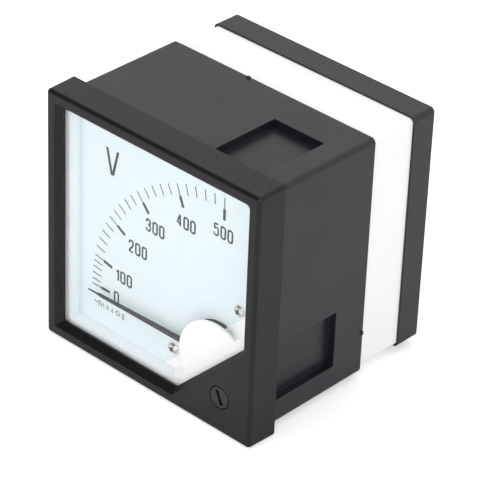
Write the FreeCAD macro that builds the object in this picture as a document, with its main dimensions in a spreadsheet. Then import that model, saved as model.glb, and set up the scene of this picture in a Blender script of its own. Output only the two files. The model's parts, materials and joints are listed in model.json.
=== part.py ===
import FreeCAD, Part
import math
import os
import re
import Sketcher

# Square flush-mounting moving-iron voltmeter with a quadrant scale.
# The frame: +X to the right seen from the front, +Y to the rear, +Z up, millimetres.
# The origin is the centre of the panel cut-out, in the plane of the seat behind the bezel.

SIZES = [
    # Front bezel
    ("bezel_side", 80.0, "side of the square bezel at its seat"),
    ("bezel_depth", 10.0, "bezel front face to its seat"),
    ("bezel_draft", 0.2, "how far the bezel draws in on each side towards the front"),
    ("bezel_round", 1.2, "radius along the bezel's outer edges"),
    ("bezel_rim", 3.4, "rim between the bezel's side and the opening in its front face"),
    ("opening_corner", 26.2, "how much of x minus z the opening's cut corner takes away"),
    ("funnel_run", 1.75, "how far each straight side of the funnel runs in"),
    ("funnel_corner_run", 1.95, "how far its cut corner runs in, as x minus z"),
    ("funnel_depth", 1.9, "front face to the foot of the funnel"),
    ("lip_land", 0.3, "straight land behind the funnel"),
    ("bezel_wall", 3.8, "wall round the cavity behind the lip"),
    # Window, inner surround, dial
    ("fit_gap", 0.2, "gap round the pieces that drop into the bezel"),
    ("window_thick", 1.4, "thickness of the clear window"),
    ("window_seat", 1.6, "width of the window's seat along the cut corner"),
    ("surround_wall", 2.0, "wall of the white inner surround"),
    ("surround_corner_wall", 1.27, "its wall across the cut corner"),
    ("surround_corner_out", 3.75, "sight line to the surround's outer cut corner, as x minus z"),
    ("dial_ahead", 2.5, "face of the dial in front of the seat plane"),
    ("dial_thick", 0.8, "thickness of the dial plate"),
    ("dial_corner_out", 4.95, "sight line to the dial's cut corner, as x minus z"),
    # Scale centre and what lies on the dial
    ("pivot_in", 15.3, "edge of the opening to the pivot axis, both ways"),
    ("slot_inner", 8.4, "inner radius of the arc slot in the dial"),
    ("slot_outer", 10.7, "outer radius of the arc slot"),
    ("slot_past", 11.0, "how far the slot runs past each end of the quarter turn, degrees"),
    ("dial_screw_left", 17.67, "pivot to a dial screw, along the side of the dial"),
    ("dial_screw_low", 6.5, "pivot to a dial screw, towards the side of the dial"),
    ("dial_screw_head", 2.0, "radius of the dial screw's head"),
    ("dial_screw_high", 1.1, "height of the dial screw's head"),
    ("dial_screw_shank", 0.95, "radius of the dial screw's shank"),
    ("dial_screw_reach", 5.0, "length of its shank in the post"),
    # White cover over the hub
    ("hub_in", 10.35, "sight line to the foot of the hub cover, as x minus z"),
    ("hub_glass_gap", 0.15, "gap between the window and the front of the hub cover"),
    ("hub_foot", 0.5, "edge thickness of the hub cover's foot"),
    ("hub_ramp", 4.2, "width of the ramp from the foot to the front face"),
    ("hub_disc", 13.1, "radius of the disc over the hub"),
    ("hub_disc_past", 1.0, "disc centre past the pivot, to the right and down"),
    ("hub_disc_thick", 0.8, "thickness of the disc"),
    ("hub_side_gap", 0.1, "gap between the hub cover and the surround"),
    ("hub_wall", 1.2, "wall of the hub cover over its hollow"),
    # Zero screw
    ("zero_past", 7.0, "zero screw axis past the pivot, to the right and down"),
    ("zero_head", 3.25, "radius of its head"),
    ("zero_head_thick", 1.3, "thickness of its head"),
    ("zero_ring_gap", 0.35, "gap round its head in the corner plate"),
    ("zero_shank", 2.5, "radius of its shank"),
    ("zero_run_gap", 0.06, "running gap of its shank"),
    ("zero_slot_wide", 1.15, "width of the driver slot"),
    ("zero_slot_long", 4.7, "length of the driver slot"),
    ("zero_slot_deep", 0.8, "depth of the driver slot"),
    ("zero_slot_turn", 22.5, "turn of the slot from the line to the pivot, degrees"),
    ("zero_throw", 1.5, "eccentric pin, offset from the screw's axis"),
    ("zero_pin", 0.7, "radius of the eccentric pin"),
    ("zero_pin_past", 0.5, "how far the pin runs past the lever"),
    ("zero_boss", 5.0, "radius of the boss behind the corner plate"),
    ("zero_boss_long", 3.6, "length of the boss"),
    ("zero_end", 1.0, "shank behind the boss, with the retaining ring's groove"),
    ("ring_thick", 0.5, "thickness of the retaining ring"),
    ("ring_outer", 4.2, "outer radius of the retaining ring"),
    ("ring_groove", 0.4, "depth of its groove in the shank"),
    ("ring_mouth", 3.6, "width of the ring's open side"),
    # Pointer
    ("pointer_rest", -1.0, "angle of the pointer above the level at rest, degrees"),
    ("tip_gap", 6.75, "pointer's tip to the edge of the sight"),
    ("pointer_gap", 0.4, "gap between the hub cover's disc and the pointer's blade"),
    ("blade_thick", 0.35, "thickness of the blade"),
    ("blade_wide", 2.1, "width of the blade at the slot"),
    ("blade_wide_end", 1.0, "width of the blade at the shoulder"),
    ("shoulder_long", 1.0, "length of the shoulder between the needle and the blade"),
    ("needle_long", 3.5, "length of the needle"),
    ("needle_wide", 0.4, "width of the needle at its root"),
    ("tip_wide", 0.25, "width of the tip"),
    ("blade_fold", 0.25, "height of the fold along the blade"),
    ("web_radius", 9.1, "radius of the pointer's web in the slot"),
    ("web_thick", 0.6, "thickness of the web"),
    ("web_wide", 1.6, "width of the web and the rear arm"),
    ("arm_level", 3.3, "seat plane to the front of the pointer's rear arm"),
    ("pointer_hub", 2.4, "radius of the pointer's hub"),
    # Spindle and what it carries
    ("spindle_radius", 0.75, "radius of the spindle"),
    ("pivot_tip", 0.15, "radius of the spindle's pivot ends"),
    ("pivot_taper", 0.9, "length of the pivot cones"),
    ("press_gap", 0.02, "gap of pieces pressed on the spindle"),
    ("collet_radius", 1.3, "radius of the spring's collet"),
    ("collet_long", 1.0, "length of the collet"),
    ("spring_level", 4.5, "seat plane to the front edge of the hairspring"),
    ("spring_deep", 0.5, "width of the hairspring's strip"),
    ("spring_strip", 0.22, "thickness of the hairspring's strip"),
    ("spring_half_turns", 9, "half turns of the hairspring"),
    ("vane_level", 6.1, "seat plane to the front of the damping vane"),
    ("vane_thick", 0.4, "thickness of the damping vane"),
    ("vane_radius", 12.2, "radius of the damping vane"),
    ("vane_half_angle", 64.0, "half the vane's angle, degrees"),
    ("vane_centre", -1.5, "turn of the vane's middle from the pointer's tail, degrees"),
    ("vane_cut_inner", 3.4, "inner radius of the vane's cut-outs"),
    ("vane_cut_outer", 8.0, "outer radius of the vane's cut-outs"),
    ("vane_spoke_angle", 9.0, "half the angle of the vane's spokes, degrees"),
    ("arms_level", 8.3, "seat plane to the axis of the balance arms"),
    ("arm_wire", 0.4, "radius of the balance arms"),
    ("balance_hub", 1.7, "radius of the balance cross's hub"),
    ("tail_arm", 6.0, "length of the tail arm"),
    ("side_arm", 6.4, "length of each side arm"),
    ("side_weight_radius", 1.3, "radius of the side weights"),
    ("side_weight_long", 2.4, "length of the side weights"),
    ("tail_weight_radius", 1.3, "radius of the tail weight"),
    ("tail_weight_long", 0.7, "length of the tail weight, which balances the pointer"),
    ("weight_end_gap", 0.4, "balance arm that shows past its weight"),
    ("iron_inner", 3.3, "inner radius of the moving iron"),
    ("iron_thick", 0.5, "thickness of the moving iron"),
    ("iron_half_angle", 38.0, "half the moving iron's angle, degrees"),
    ("iron_short", 8.0, "how much shorter than the bobbin the moving iron is"),
    ("iron_hub", 1.5, "radius of the moving iron's hub"),
    # Movement frame
    ("plate_level", 10.4, "seat plane to the front of the movement plate"),
    ("plate_thick", 1.5, "thickness of the movement plate"),
    ("plate_gap", 2.4, "gap between the movement plate and the housing's wall"),
    ("plate_corner", 6.0, "cut across the movement plate's inner corner"),
    ("plate_in", 21.3, "pivot to the movement plate's left and top edges"),
    ("plate_bore", 5.5, "radius of the hole for the spindle and irons"),
    ("bridge_wide", 4.4, "width of both bridges"),
    ("bridge_thick", 1.2, "thickness of both bridges"),
    ("bridge_level", 1.0, "seat plane to the front of the front bridge"),
    ("bridge_inside", 13.2, "pivot to the inside of the front bridge's legs"),
    ("bridge_foot_inner", 9.6, "pivot to the inner end of the front bridge's feet"),
    ("foot_screw_at", 11.3, "pivot to the screws in the front bridge's feet"),
    ("small_screw_shank", 1.0, "radius of the bridge screws' shanks"),
    ("small_screw_head", 1.9, "radius of the bridge screws' heads"),
    ("small_screw_high", 1.1, "height of the bridge screws' heads"),
    ("screw_gap", 0.08, "gap round the shanks of the screws"),
    ("driver_slot", 0.5, "width and depth of the driver slots"),
    ("jewel_shank", 1.5, "radius of the jewel screws"),
    ("jewel_head", 2.6, "radius of the jewel screws' heads"),
    ("jewel_high", 0.9, "height of the jewel screws' heads"),
    ("jewel_cup", 0.8, "radius of the cup in a jewel screw"),
    ("jewel_cup_deep", 0.7, "depth of the cup"),
    ("jewel_past", 0.6, "how far a jewel screw runs past its bridge"),
    # Zero lever
    ("lever_thick", 0.6, "thickness of the zero lever"),
    ("lever_gap", 0.05, "gap on each face of the zero lever"),
    ("lever_ring", 3.3, "radius of the lever's ring"),
    ("lever_arm_wide", 4.4, "width of the lever's arm"),
    ("lever_reach", 13.0, "pivot to the end of the lever's fork"),
    ("fork_gap", 0.1, "gap on each side of the pin in the fork"),
    ("fork_foot", 9.0, "pivot to the foot of the fork's slot"),
    ("tab_at", 5.7, "pivot to the spring tab"),
    ("tab_side", 2.4, "the spring tab's offset to one side"),
    ("tab_wide", 1.6, "width of the spring tab"),
    # Damping magnet
    ("magnet_inner", 9.2, "pivot to the magnet's poles"),
    ("magnet_outer", 15.6, "pivot to the magnet's back"),
    ("magnet_wide", 5.0, "width of the magnet"),
    ("magnet_front", 3.8, "seat plane to the front of the magnet"),
    ("magnet_gap", 1.4, "gap between its poles"),
    ("magnet_throat", 0.7, "gap between the vane's rim and the foot of the magnet's gap"),
    # Coil and irons
    ("bobbin_bore", 5.5, "radius of the bobbin's bore"),
    ("bobbin_wall", 0.9, "wall of the bobbin's tube"),
    ("bobbin_flange", 11.4, "radius of the bobbin's flanges"),
    ("flange_thick", 1.2, "thickness of the front flange"),
    ("rear_flange_thick", 3.0, "thickness of the rear flange"),
    ("rear_room", 6.3, "room between the bobbin and the base, for the rear bridge and its screws"),
    ("winding_below", 0.9, "how far the winding stays below the flanges"),
    ("winding_gap", 0.02, "gap between the winding and the bobbin"),
    ("peg_radius", 1.0, "radius of the bobbin's pegs in the plate"),
    ("peg_at", 9.0, "pivot to the pegs"),
    ("fixed_iron_gap", 0.1, "gap between the fixed iron and the bore"),
    ("fixed_iron_thick", 0.5, "thickness of the fixed iron"),
    ("fixed_iron_half_angle", 62.0, "half the fixed iron's angle, degrees"),
    ("fixed_iron_short", 5.0, "how much shorter than the bobbin the fixed iron is"),
    ("rear_bridge_half", 10.9, "half the length of the rear bridge"),
    ("rear_screw_at", 8.8, "pivot to the screws of the rear bridge"),
    # Posts and pillars
    ("post_flats", 4.6, "hexagon posts, across flats"),
    ("post_bore", 1.05, "radius of the threaded bores in the posts"),
    ("post_bore_deep", 6.5, "depth of the bore for a dial screw"),
    ("post_stub", 1.2, "radius of the dial post's stub in the plate and pillar"),
    ("post_stub_long", 4.0, "length of the stub behind the plate"),
    ("pillar_flats", 5.0, "hexagon pillars, across flats"),
    ("third_pillar_in", 13.8, "pivot to the third pillar, to the left and up"),
    ("pillar_screw", 1.2, "radius of the screws in the pillars"),
    ("pillar_screw_head", 2.3, "radius of the pillar screws' heads"),
    ("pillar_screw_high", 1.4, "height of the pillar screws' heads"),
    ("pillar_screw_reach", 4.0, "length of the screws in the pillars"),
    # Housing
    ("bezel_overhang", 1.95, "how far the bezel stands out past the housing"),
    ("body_depth", 37.4, "length of the housing behind the seat"),
    ("body_round", 1.5, "radius along the housing's long edges"),
    ("body_wall", 1.85, "wall of the housing"),
    ("collar_wide", 2.0, "how far its front collar stands in from the wall"),
    ("collar_deep", 0.9, "depth of the collar behind the seat"),
    ("spigot_gap", 0.15, "gap between the spigot and its recess"),
    ("clip_wide", 18.1, "width of the clip pockets"),
    ("clip_to_boss", 2.4, "corner screw to the near side of the clip pocket, along the housing's side"),
    ("clip_deep", 2.35, "depth of the clip pockets"),
    ("clip_long", 25.5, "length of the clip pockets behind the seat"),
    ("clip_wall", 1.5, "wall round the clip pockets"),
    ("boss_in", 3.6, "corner screws, from the inside of the housing"),
    ("boss_radius", 3.0, "radius of the housing's corner bosses"),
    ("boss_long", 18.2, "length of the housing's corner bosses"),
    ("boss_short", 1.2, "how far the bosses stop short of the housing's rear rim"),
    ("nub_wide", 1.1, "width of the small moulding nubs on the rear rim"),
    ("nub_high", 0.35, "height of the nubs"),
    ("nub_long", 0.8, "length of the nubs"),
    ("top_nub_left", 8.3, "top nub, to the left of the centre line"),
    ("side_nub_low", 24.4, "side nub, below the centre line"),
    # White base
    ("base_step", 0.95, "how far the base stands in from the housing's side"),
    ("base_depth", 16.6, "length of the white base that shows"),
    ("base_round", 1.4, "radius along its long edges"),
    ("base_wall", 2.0, "wall of the base"),
    ("base_floor", 2.5, "thickness of its floor"),
    ("base_column", 3.4, "radius of its corner columns"),
    ("lead_hole", 2.2, "radius of the holes for the coil's leads"),
    ("lead_hole_at", 12.0, "lead holes, left of the centre and above or below it"),
    ("standoff_radius", 2.4, "radius of the resistor board's standoffs"),
    ("standoff_high", 4.0, "height of the standoffs"),
    # Rear cover
    ("cover_step", 0.35, "how far the rear cover stands in from the housing's side"),
    ("cover_depth", 8.3, "depth of the rear cover"),
    ("cover_round", 1.5, "radius along its long edges"),
    ("cover_back", 2.5, "thickness of its back"),
    ("cover_lip_gap", 0.2, "gap between its lip and the base"),
    ("cover_lip_wall", 1.2, "wall of its lip"),
    ("cover_lip_long", 1.6, "how far its lip enters the base"),
    ("cover_column", 3.4, "radius of its corner columns"),
    ("barrier_long", 22.0, "length of the barrier between the terminals"),
    ("barrier_thick", 2.0, "thickness of the barrier"),
    ("barrier_high", 5.0, "height of the barrier"),
    ("case_screw", 1.45, "radius of the long case screws"),
    ("case_screw_gap", 0.25, "gap round them in the cover and base"),
    ("case_screw_head", 2.7, "radius of their heads"),
    ("case_screw_high", 1.8, "height of their heads"),
    ("case_screw_sink", 2.0, "depth of their counterbores"),
    ("case_screw_reach", 12.0, "length of the case screws in the housing's bosses"),
    # Terminals
    ("terminal_at", 16.0, "terminals, left and right of the centre"),
    ("stud_radius", 2.5, "radius of the terminal studs under their nuts"),
    ("stud_end_radius", 2.0, "radius of their free ends, which take the leads"),
    ("stud_past", 0.4, "how far their full radius runs past the nuts"),
    ("stud_out", 15.0, "length of the studs behind the cover"),
    ("stud_chamfer", 0.5, "chamfer at the studs' ends"),
    ("head_flats", 8.0, "across flats of the studs' heads and nuts"),
    ("head_high", 3.0, "height of the studs' heads"),
    ("nut_high", 4.0, "height of the nuts"),
    ("nut_gap", 0.05, "gap between stud and nut"),
    ("nut_bevel", 0.5, "height of the bevel on the nuts' corners"),
    ("washer_radius", 5.0, "radius of the washers"),
    ("washer_thick", 1.0, "thickness of the washers"),
    ("strap_thick", 0.6, "thickness of the terminal straps"),
    ("strap_wide", 8.0, "width of the terminal straps"),
    ("strap_reach", 23.0, "centre to the outer face of a strap"),
    # Resistors
    ("board_long", 50.0, "length of the resistor board"),
    ("board_wide", 24.0, "width of the resistor board"),
    ("board_thick", 1.6, "thickness of the resistor board"),
    ("standoff_at", 10.0, "standoffs and board screws, left and right of the centre"),
    ("resistor_radius", 2.7, "radius of a series resistor's rod"),
    ("resistor_cap", 3.0, "radius of its end caps"),
    ("resistor_long", 22.0, "length of the resistor over its caps"),
    ("resistor_cap_long", 3.0, "length of each cap"),
    ("resistor_lead", 0.4, "radius of its leads"),
    ("resistor_lead_out", 2.6, "lead between cap and bend"),
    ("resistor_lift", 1.2, "gap between a resistor and the board"),
    ("resistor_at", 6.5, "resistors, above and below the centre"),
]

# Sizes that follow from the ones above, each as a formula in the sheet
FOLLOWING = [
    ("opening_half", "bezel_side / 2 - bezel_rim", "half the square opening in the front face"),
    ("opening_diagonal", "2 * opening_half - opening_corner", "x minus z along its cut corner"),
    ("sight_half", "opening_half - funnel_run", "half the square at the foot of the funnel"),
    ("sight_diagonal", "opening_diagonal - funnel_corner_run", "x minus z along its cut corner"),
    ("bezel_cavity_half", "bezel_side / 2 - bezel_wall", "half the square cavity behind the lip"),
    ("surround_diagonal", "sight_diagonal + surround_corner_out", "x minus z along its outer corner"),
    ("dial_diagonal", "sight_diagonal + dial_corner_out", "x minus z along the dial's cut corner"),
    ("spigot_depth", "dial_ahead - dial_thick", "how deep the housing's front end sits in the bezel"),
    ("glass_back", "funnel_depth + lip_land + window_thick - bezel_depth", "rear of the window"),
    ("hub_rise", "-dial_ahead - glass_back - hub_glass_gap", "hub cover, dial face to its front face"),
    ("pivot_out", "opening_half - pivot_in", "pivot axis, right of and below the centre"),
    ("dial_screw_near", "pivot_out - dial_screw_left", "dial screw to the nearer centre line"),
    ("dial_screw_far", "pivot_out + dial_screw_low", "dial screw to the farther centre line"),
    ("hub_line", "sight_diagonal - hub_in", "x minus z where the hub cover meets the dial"),
    ("hub_disc_out", "pivot_out + hub_disc_past", "disc centre, right of and below the centre"),
    ("zero_out", "pivot_out + zero_past", "zero screw axis, right of and below the centre"),
    ("pointer_reach", "pivot_out + sight_half - tip_gap", "pivot to the pointer's tip"),
    ("needle_at", "pointer_reach - needle_long", "radius where the needle starts"),
    ("blade_end_at", "needle_at - shoulder_long", "radius where the long taper of the blade ends"),
    ("body_side", "bezel_side - 2 * bezel_overhang", "side of the square housing behind the bezel"),
    ("body_inside_half", "body_side / 2 - body_wall", "half the inside of the housing"),
    ("collar_inside_half", "body_inside_half - collar_wide", "half the opening in its front collar"),
    ("boss_out", "body_inside_half - boss_in", "corner screws, from both centre lines"),
    ("boss_start", "body_depth - boss_short - boss_long", "seat plane to the front of the bosses"),
    ("clip_far", "boss_out - clip_to_boss", "clip pocket, centre line to its far side"),
    ("clip_near", "clip_far - clip_wide", "clip pocket, centre line to its near side"),
    ("plate_edge", "pivot_out - plate_in", "movement plate, centre line to its inner side"),
    ("plate_side", "body_inside_half - plate_gap", "movement plate, centre line to its outer side"),
    ("third_pillar_at", "pivot_out - third_pillar_in", "third pillar, right of and below the centre"),
    ("plate_back", "plate_level + plate_thick", "seat plane to the rear of the movement plate"),
    ("bobbin_long", "body_depth - boss_short - plate_back - rear_room", "length of the bobbin"),
    ("iron_long", "bobbin_long - iron_short", "length of the moving iron"),
    ("fixed_iron_long", "bobbin_long - fixed_iron_short", "length of the fixed iron"),
    ("base_side", "body_side - 2 * base_step", "side of the white base"),
    ("cover_side", "body_side - 2 * cover_step", "side of the rear cover"),
]

DOC = FreeCAD.newDocument("panel_meter")
SHEET = DOC.addObject("Spreadsheet::Sheet", "Sizes")
NAMES = {alias for alias, value, meaning in SIZES + FOLLOWING}
WORD = re.compile(r"[a-z][a-z_]*")
NODES = []

# Places worked out from the sizes, as formulas over their names
GLASS_FRONT = "(funnel_depth + lip_land - bezel_depth)"
GLASS_BACK = "glass_back"
DIAL_FRONT = "(-dial_ahead)"
DIAL_BACK = "(dial_thick - dial_ahead)"
HUB_FRONT = f"({DIAL_FRONT} - hub_rise)"
BLADE_FRONT = f"({HUB_FRONT} + hub_disc_thick + pointer_gap)"
BLADE_BACK = f"({BLADE_FRONT} + blade_thick)"
CORNER_BACK = "(funnel_depth + lip_land - bezel_depth)"
LEVER_BACK = "(bridge_level - lever_gap)"
LEVER_FRONT = f"({LEVER_BACK} - lever_thick)"
PLATE_BACK = "plate_back"
BOBBIN_BACK = f"({PLATE_BACK} + bobbin_long)"
FLOOR_FRONT = "(body_depth - boss_short)"
FLOOR_BACK = f"({FLOOR_FRONT} + base_floor)"
BASE_BACK = "(body_depth + base_depth)"
COVER_BACK = f"({BASE_BACK} + cover_depth)"
COVER_INNER = f"({COVER_BACK} - cover_back)"
JEWEL_END = "(bridge_level + bridge_thick + jewel_past)"
REAR_JEWEL_END = f"({BOBBIN_BACK} - jewel_past)"


def fill_sheet():
    """Write every size to the sheet under its own name, then those that follow from them."""
    for row, (alias, value, meaning) in enumerate(SIZES + FOLLOWING, start=1):
        SHEET.set(f"A{row}", meaning)
        SHEET.set(f"B{row}", f"={value}")
        SHEET.setAlias(f"B{row}", alias)
        DOC.recompute()


def linked(formula):
    """The formula with each size's name pointing at the sheet."""
    return WORD.sub(lambda m: f"Sizes.{m.group()}" if m.group() in NAMES else m.group(), formula)


def number(formula):
    """The formula's present value in millimetres or degrees."""
    value = SHEET.evalExpression(formula)
    return float(getattr(value, "Value", value))


def bind(item, name, formula):
    """Tie one property to a formula over the sizes."""
    item.setExpression(name, linked(formula))


def new_body(label, x="0", y="0", z="0", turn="0"):
    """A body at a place of its own, turned about the Y axis."""
    body = DOC.addObject("PartDesign::Body", label)
    body.Label = label
    place(body, x, y, z, turn)
    NODES.append(body)
    return body


def place(item, x, y, z, turn="0"):
    """Put an item at x, y, z, turned about the Y axis."""
    item.Placement = FreeCAD.Placement(
        FreeCAD.Vector(number(x), number(y), number(z)),
        FreeCAD.Rotation(FreeCAD.Vector(0, 1, 0), number(turn)),
    )
    bind(item, ".Placement.Base.x", x)
    bind(item, ".Placement.Base.y", y)
    bind(item, ".Placement.Base.z", z)
    bind(item, ".Placement.Rotation.Angle", turn)


def sketch_on(body, name, role, level="0"):
    """A sketch on one of the body's own planes, at a level along the frame's axis."""
    sketch = body.newObject("Sketcher::SketchObject", name)
    plane = next(item for item in body.Origin.OriginFeatures if item.Role == role)
    sketch.AttachmentSupport = [(plane, "")]
    sketch.MapMode = "FlatFace"
    lift = f"-({level})" if role == "XZ_Plane" else level
    sketch.AttachmentOffset = FreeCAD.Placement(FreeCAD.Vector(0, 0, number(lift)), FreeCAD.Rotation())
    bind(sketch, ".AttachmentOffset.Base.z", lift)
    return sketch


def pin_point(sketch, element, end, x, y):
    """Fix one point of the sketch at x, y."""
    for kind, formula in (("DistanceX", x), ("DistanceY", y)):
        row = sketch.addConstraint(Sketcher.Constraint(kind, -1, 1, element, end, number(formula)))
        bind(sketch, f"Constraints[{row}]", formula)


def polygon(sketch, corners):
    """A closed outline through corners given as pairs of formulas."""
    spots = [FreeCAD.Vector(number(x), number(y), 0) for x, y in corners]
    count = len(spots)
    lines = [
        sketch.addGeometry(Part.LineSegment(spots[k], spots[(k + 1) % count]), False)
        for k in range(count)
    ]
    for k in range(count):
        following = lines[(k + 1) % count]
        sketch.addConstraint(Sketcher.Constraint("Coincident", lines[k], 2, following, 1))
    for line, (x, y) in zip(lines, corners):
        pin_point(sketch, line, 1, x, y)


def box_outline(sketch, left, right, low, high):
    """An upright rectangle."""
    polygon(sketch, [(left, low), (right, low), (right, high), (left, high)])


def square_outline(sketch, half):
    """A square about the origin."""
    box_outline(sketch, f"-({half})", half, f"-({half})", half)


def cut_square(sketch, half, diagonal):
    """A square about the origin whose lower right corner is cut along x - z = diagonal."""
    polygon(
        sketch,
        [
            (f"-({half})", f"-({half})"),
            (f"{diagonal} - ({half})", f"-({half})"),
            (half, f"{half} - ({diagonal})"),
            (half, half),
            (f"-({half})", half),
        ],
    )


def circle(sketch, x, y, radius):
    """A circle at x, y."""
    centre = FreeCAD.Vector(number(x), number(y), 0)
    ring = sketch.addGeometry(Part.Circle(centre, FreeCAD.Vector(0, 0, 1), number(radius)), False)
    pin_point(sketch, ring, 3, x, y)
    row = sketch.addConstraint(Sketcher.Constraint("Radius", ring, number(radius)))
    bind(sketch, f"Constraints[{row}]", radius)


def ring_sector(sketch, inner, outer, first, last):
    """Part of a ring about the origin, from angle first to angle last, in degrees."""
    axis = FreeCAD.Vector(0, 0, 1)
    turns = [math.radians(number(angle)) for angle in (first, last)]
    arcs = []
    for radius in (inner, outer):
        ring = Part.Circle(FreeCAD.Vector(), axis, number(radius))
        arc = sketch.addGeometry(Part.ArcOfCircle(ring, turns[0], turns[1]), False)
        sketch.addConstraint(Sketcher.Constraint("Coincident", arc, 3, -1, 1))
        row = sketch.addConstraint(Sketcher.Constraint("Radius", arc, number(radius)))
        bind(sketch, f"Constraints[{row}]", radius)
        arcs.append(arc)
    for end, angle, turn in ((1, first, turns[0]), (2, last, turns[1])):
        spots = [
            FreeCAD.Vector(number(radius) * math.cos(turn), number(radius) * math.sin(turn), 0)
            for radius in (inner, outer)
        ]
        line = sketch.addGeometry(Part.LineSegment(spots[0], spots[1]), False)
        sketch.addConstraint(Sketcher.Constraint("Coincident", line, 1, arcs[0], end))
        sketch.addConstraint(Sketcher.Constraint("Coincident", line, 2, arcs[1], end))
        sketch.addConstraint(Sketcher.Constraint("PointOnObject", -1, 1, line))
        row = sketch.addConstraint(Sketcher.Constraint("Angle", line, turn))
        bind(sketch, f"Constraints[{row}]", f"({angle}) * 1 deg")


def pad(body, sketch, length, forward=False, taper=None):
    """Add material behind the sketch, or in front of it."""
    feature = body.newObject("PartDesign::Pad", f"{sketch.Name}_pad")
    feature.Profile = sketch
    feature.Length = number(length)
    bind(feature, "Length", length)
    feature.Reversed = not forward
    if taper:
        bind(feature, "TaperAngle", taper)
    sketch.Visibility = False
    return feature


def pad_both(body, sketch, length):
    """Add material on both sides of the sketch."""
    feature = pad(body, sketch, length)
    feature.Midplane = True
    return feature


def pocket(body, sketch, length, forward=False):
    """Cut material behind the sketch, or in front of it, and make sure that it did."""
    DOC.recompute()
    before = body.Shape.Volume
    feature = body.newObject("PartDesign::Pocket", f"{sketch.Name}_cut")
    feature.Profile = sketch
    feature.Length = number(length)
    bind(feature, "Length", length)
    feature.Reversed = forward
    sketch.Visibility = False
    DOC.recompute()
    if body.Shape.Volume >= before:
        raise ValueError(f"{feature.Name} cuts nothing")
    return feature


def turned(body, name, corners):
    """A solid of revolution about the Y axis from corners given as (y, radius)."""
    sketch = sketch_on(body, name, "YZ_Plane")
    polygon(sketch, corners)
    feature = body.newObject("PartDesign::Revolution", f"{name}_turn")
    feature.Profile = sketch
    feature.ReferenceAxis = (sketch, ["H_Axis"])
    feature.Angle = 360
    sketch.Visibility = False
    return feature


def grooved(body, name, corners):
    """Cut a ring about the Y axis from corners given as (y, radius)."""
    sketch = sketch_on(body, name, "YZ_Plane")
    polygon(sketch, corners)
    feature = body.newObject("PartDesign::Groove", f"{name}_groove")
    feature.Profile = sketch
    feature.ReferenceAxis = (sketch, ["H_Axis"])
    feature.Angle = 360
    sketch.Visibility = False
    return feature


def quarter_pattern(body, features):
    """Repeat features on the four sides of the meter."""
    pattern = body.newObject("PartDesign::PolarPattern", f"{features[0].Name}_pattern")
    pattern.Originals = features
    axis = next(item for item in body.Origin.OriginFeatures if item.Role == "Y_Axis")
    pattern.Axis = (axis, [""])
    pattern.Angle = 360
    pattern.Occurrences = 4
    body.Tip = pattern
    return pattern


def edges_where(shape, test):
    """Names of the edges whose ends both pass the test."""
    return [
        f"Edge{k}"
        for k, edge in enumerate(shape.Edges, start=1)
        if len(edge.Vertexes) == 2 and all(test(vertex.Point) for vertex in edge.Vertexes)
    ]


def rounded(body, base, radius, names):
    """Round the named edges of a feature."""
    feature = body.newObject("PartDesign::Fillet", f"{base.Name}_round")
    feature.Base = (base, names)
    feature.Radius = number(radius)
    bind(feature, "Radius", radius)
    return feature


def beside(a, b):
    """True where two lengths agree to a hundredth."""
    return abs(a - b) < 0.01


def long_edges(shape, half, low, high):
    """Names of the four edges along Y at the corners of a square."""
    return [
        f"Edge{k}"
        for k, edge in enumerate(shape.Edges, start=1)
        if len(edge.Vertexes) == 2
        and abs(edge.BoundBox.YLength - (high - low)) < 0.02
        and all(
            abs(abs(vertex.Point.x) - half) < 0.3 and abs(abs(vertex.Point.z) - half) < 0.3
            for vertex in edge.Vertexes
        )
    ]


def hexagon(sketch, flats):
    """A hexagon about the origin, given across its flats, with corners up and down."""
    corners = []
    for k in range(6):
        angle = f"{30 + 60 * k} deg"
        corners.append((f"({flats}) / sqrt(3) * cos({angle})", f"({flats}) / sqrt(3) * sin({angle})"))
    polygon(sketch, corners)


def build_bezel():
    """Black front bezel: funnel round the window, corner plate and boss for the zero screw."""
    body = new_body("front_bezel")
    outline = sketch_on(body, "bezel_outline", "XZ_Plane")
    square_outline(outline, "bezel_side / 2")
    block = pad(body, outline, "bezel_depth", forward=True, taper="-atan(bezel_draft / bezel_depth)")
    DOC.recompute()
    front = -number("bezel_depth")
    small_half = number("bezel_side / 2 - bezel_draft")
    outer = long_edges(block.Shape, small_half, front, 0)
    outer += edges_where(block.Shape, lambda p: beside(p.y, front))
    block = rounded(body, block, "bezel_round", outer)
    mouth = sketch_on(body, "funnel_mouth", "XZ_Plane", "-bezel_depth")
    cut_square(mouth, "opening_half", "opening_diagonal")
    foot = sketch_on(body, "funnel_foot", "XZ_Plane", "funnel_depth - bezel_depth")
    cut_square(foot, "sight_half", "sight_diagonal")
    funnel = body.newObject("PartDesign::SubtractiveLoft", "funnel")
    funnel.Profile = mouth
    funnel.Sections = [foot]
    funnel.Ruled = True
    DOC.recompute()
    land = sketch_on(body, "lip_outline", "XZ_Plane", "funnel_depth - bezel_depth")
    cut_square(land, "sight_half", "sight_diagonal")
    pocket(body, land, "lip_land")
    cavity = sketch_on(body, "bezel_cavity", "XZ_Plane")
    square_outline(cavity, "bezel_cavity_half")
    pocket(body, cavity, f"-{GLASS_FRONT}", forward=True)
    recess = sketch_on(body, "spigot_recess", "XZ_Plane")
    square_outline(recess, "body_side / 2 + spigot_gap")
    pocket(body, recess, "spigot_depth", forward=True)
    boss = sketch_on(body, "zero_boss_outline", "XZ_Plane", CORNER_BACK)
    circle(boss, "zero_out", "-zero_out", "zero_boss")
    pad(body, boss, "zero_boss_long")
    bore = sketch_on(body, "zero_bore", "XZ_Plane", "-bezel_depth")
    circle(bore, "zero_out", "-zero_out", "zero_shank + zero_run_gap")
    pocket(body, bore, "bezel_depth")
    sink = sketch_on(body, "zero_counterbore", "XZ_Plane", "-bezel_depth")
    circle(sink, "zero_out", "-zero_out", "zero_head + zero_ring_gap")
    pocket(body, sink, "zero_head_thick + zero_run_gap")


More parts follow.
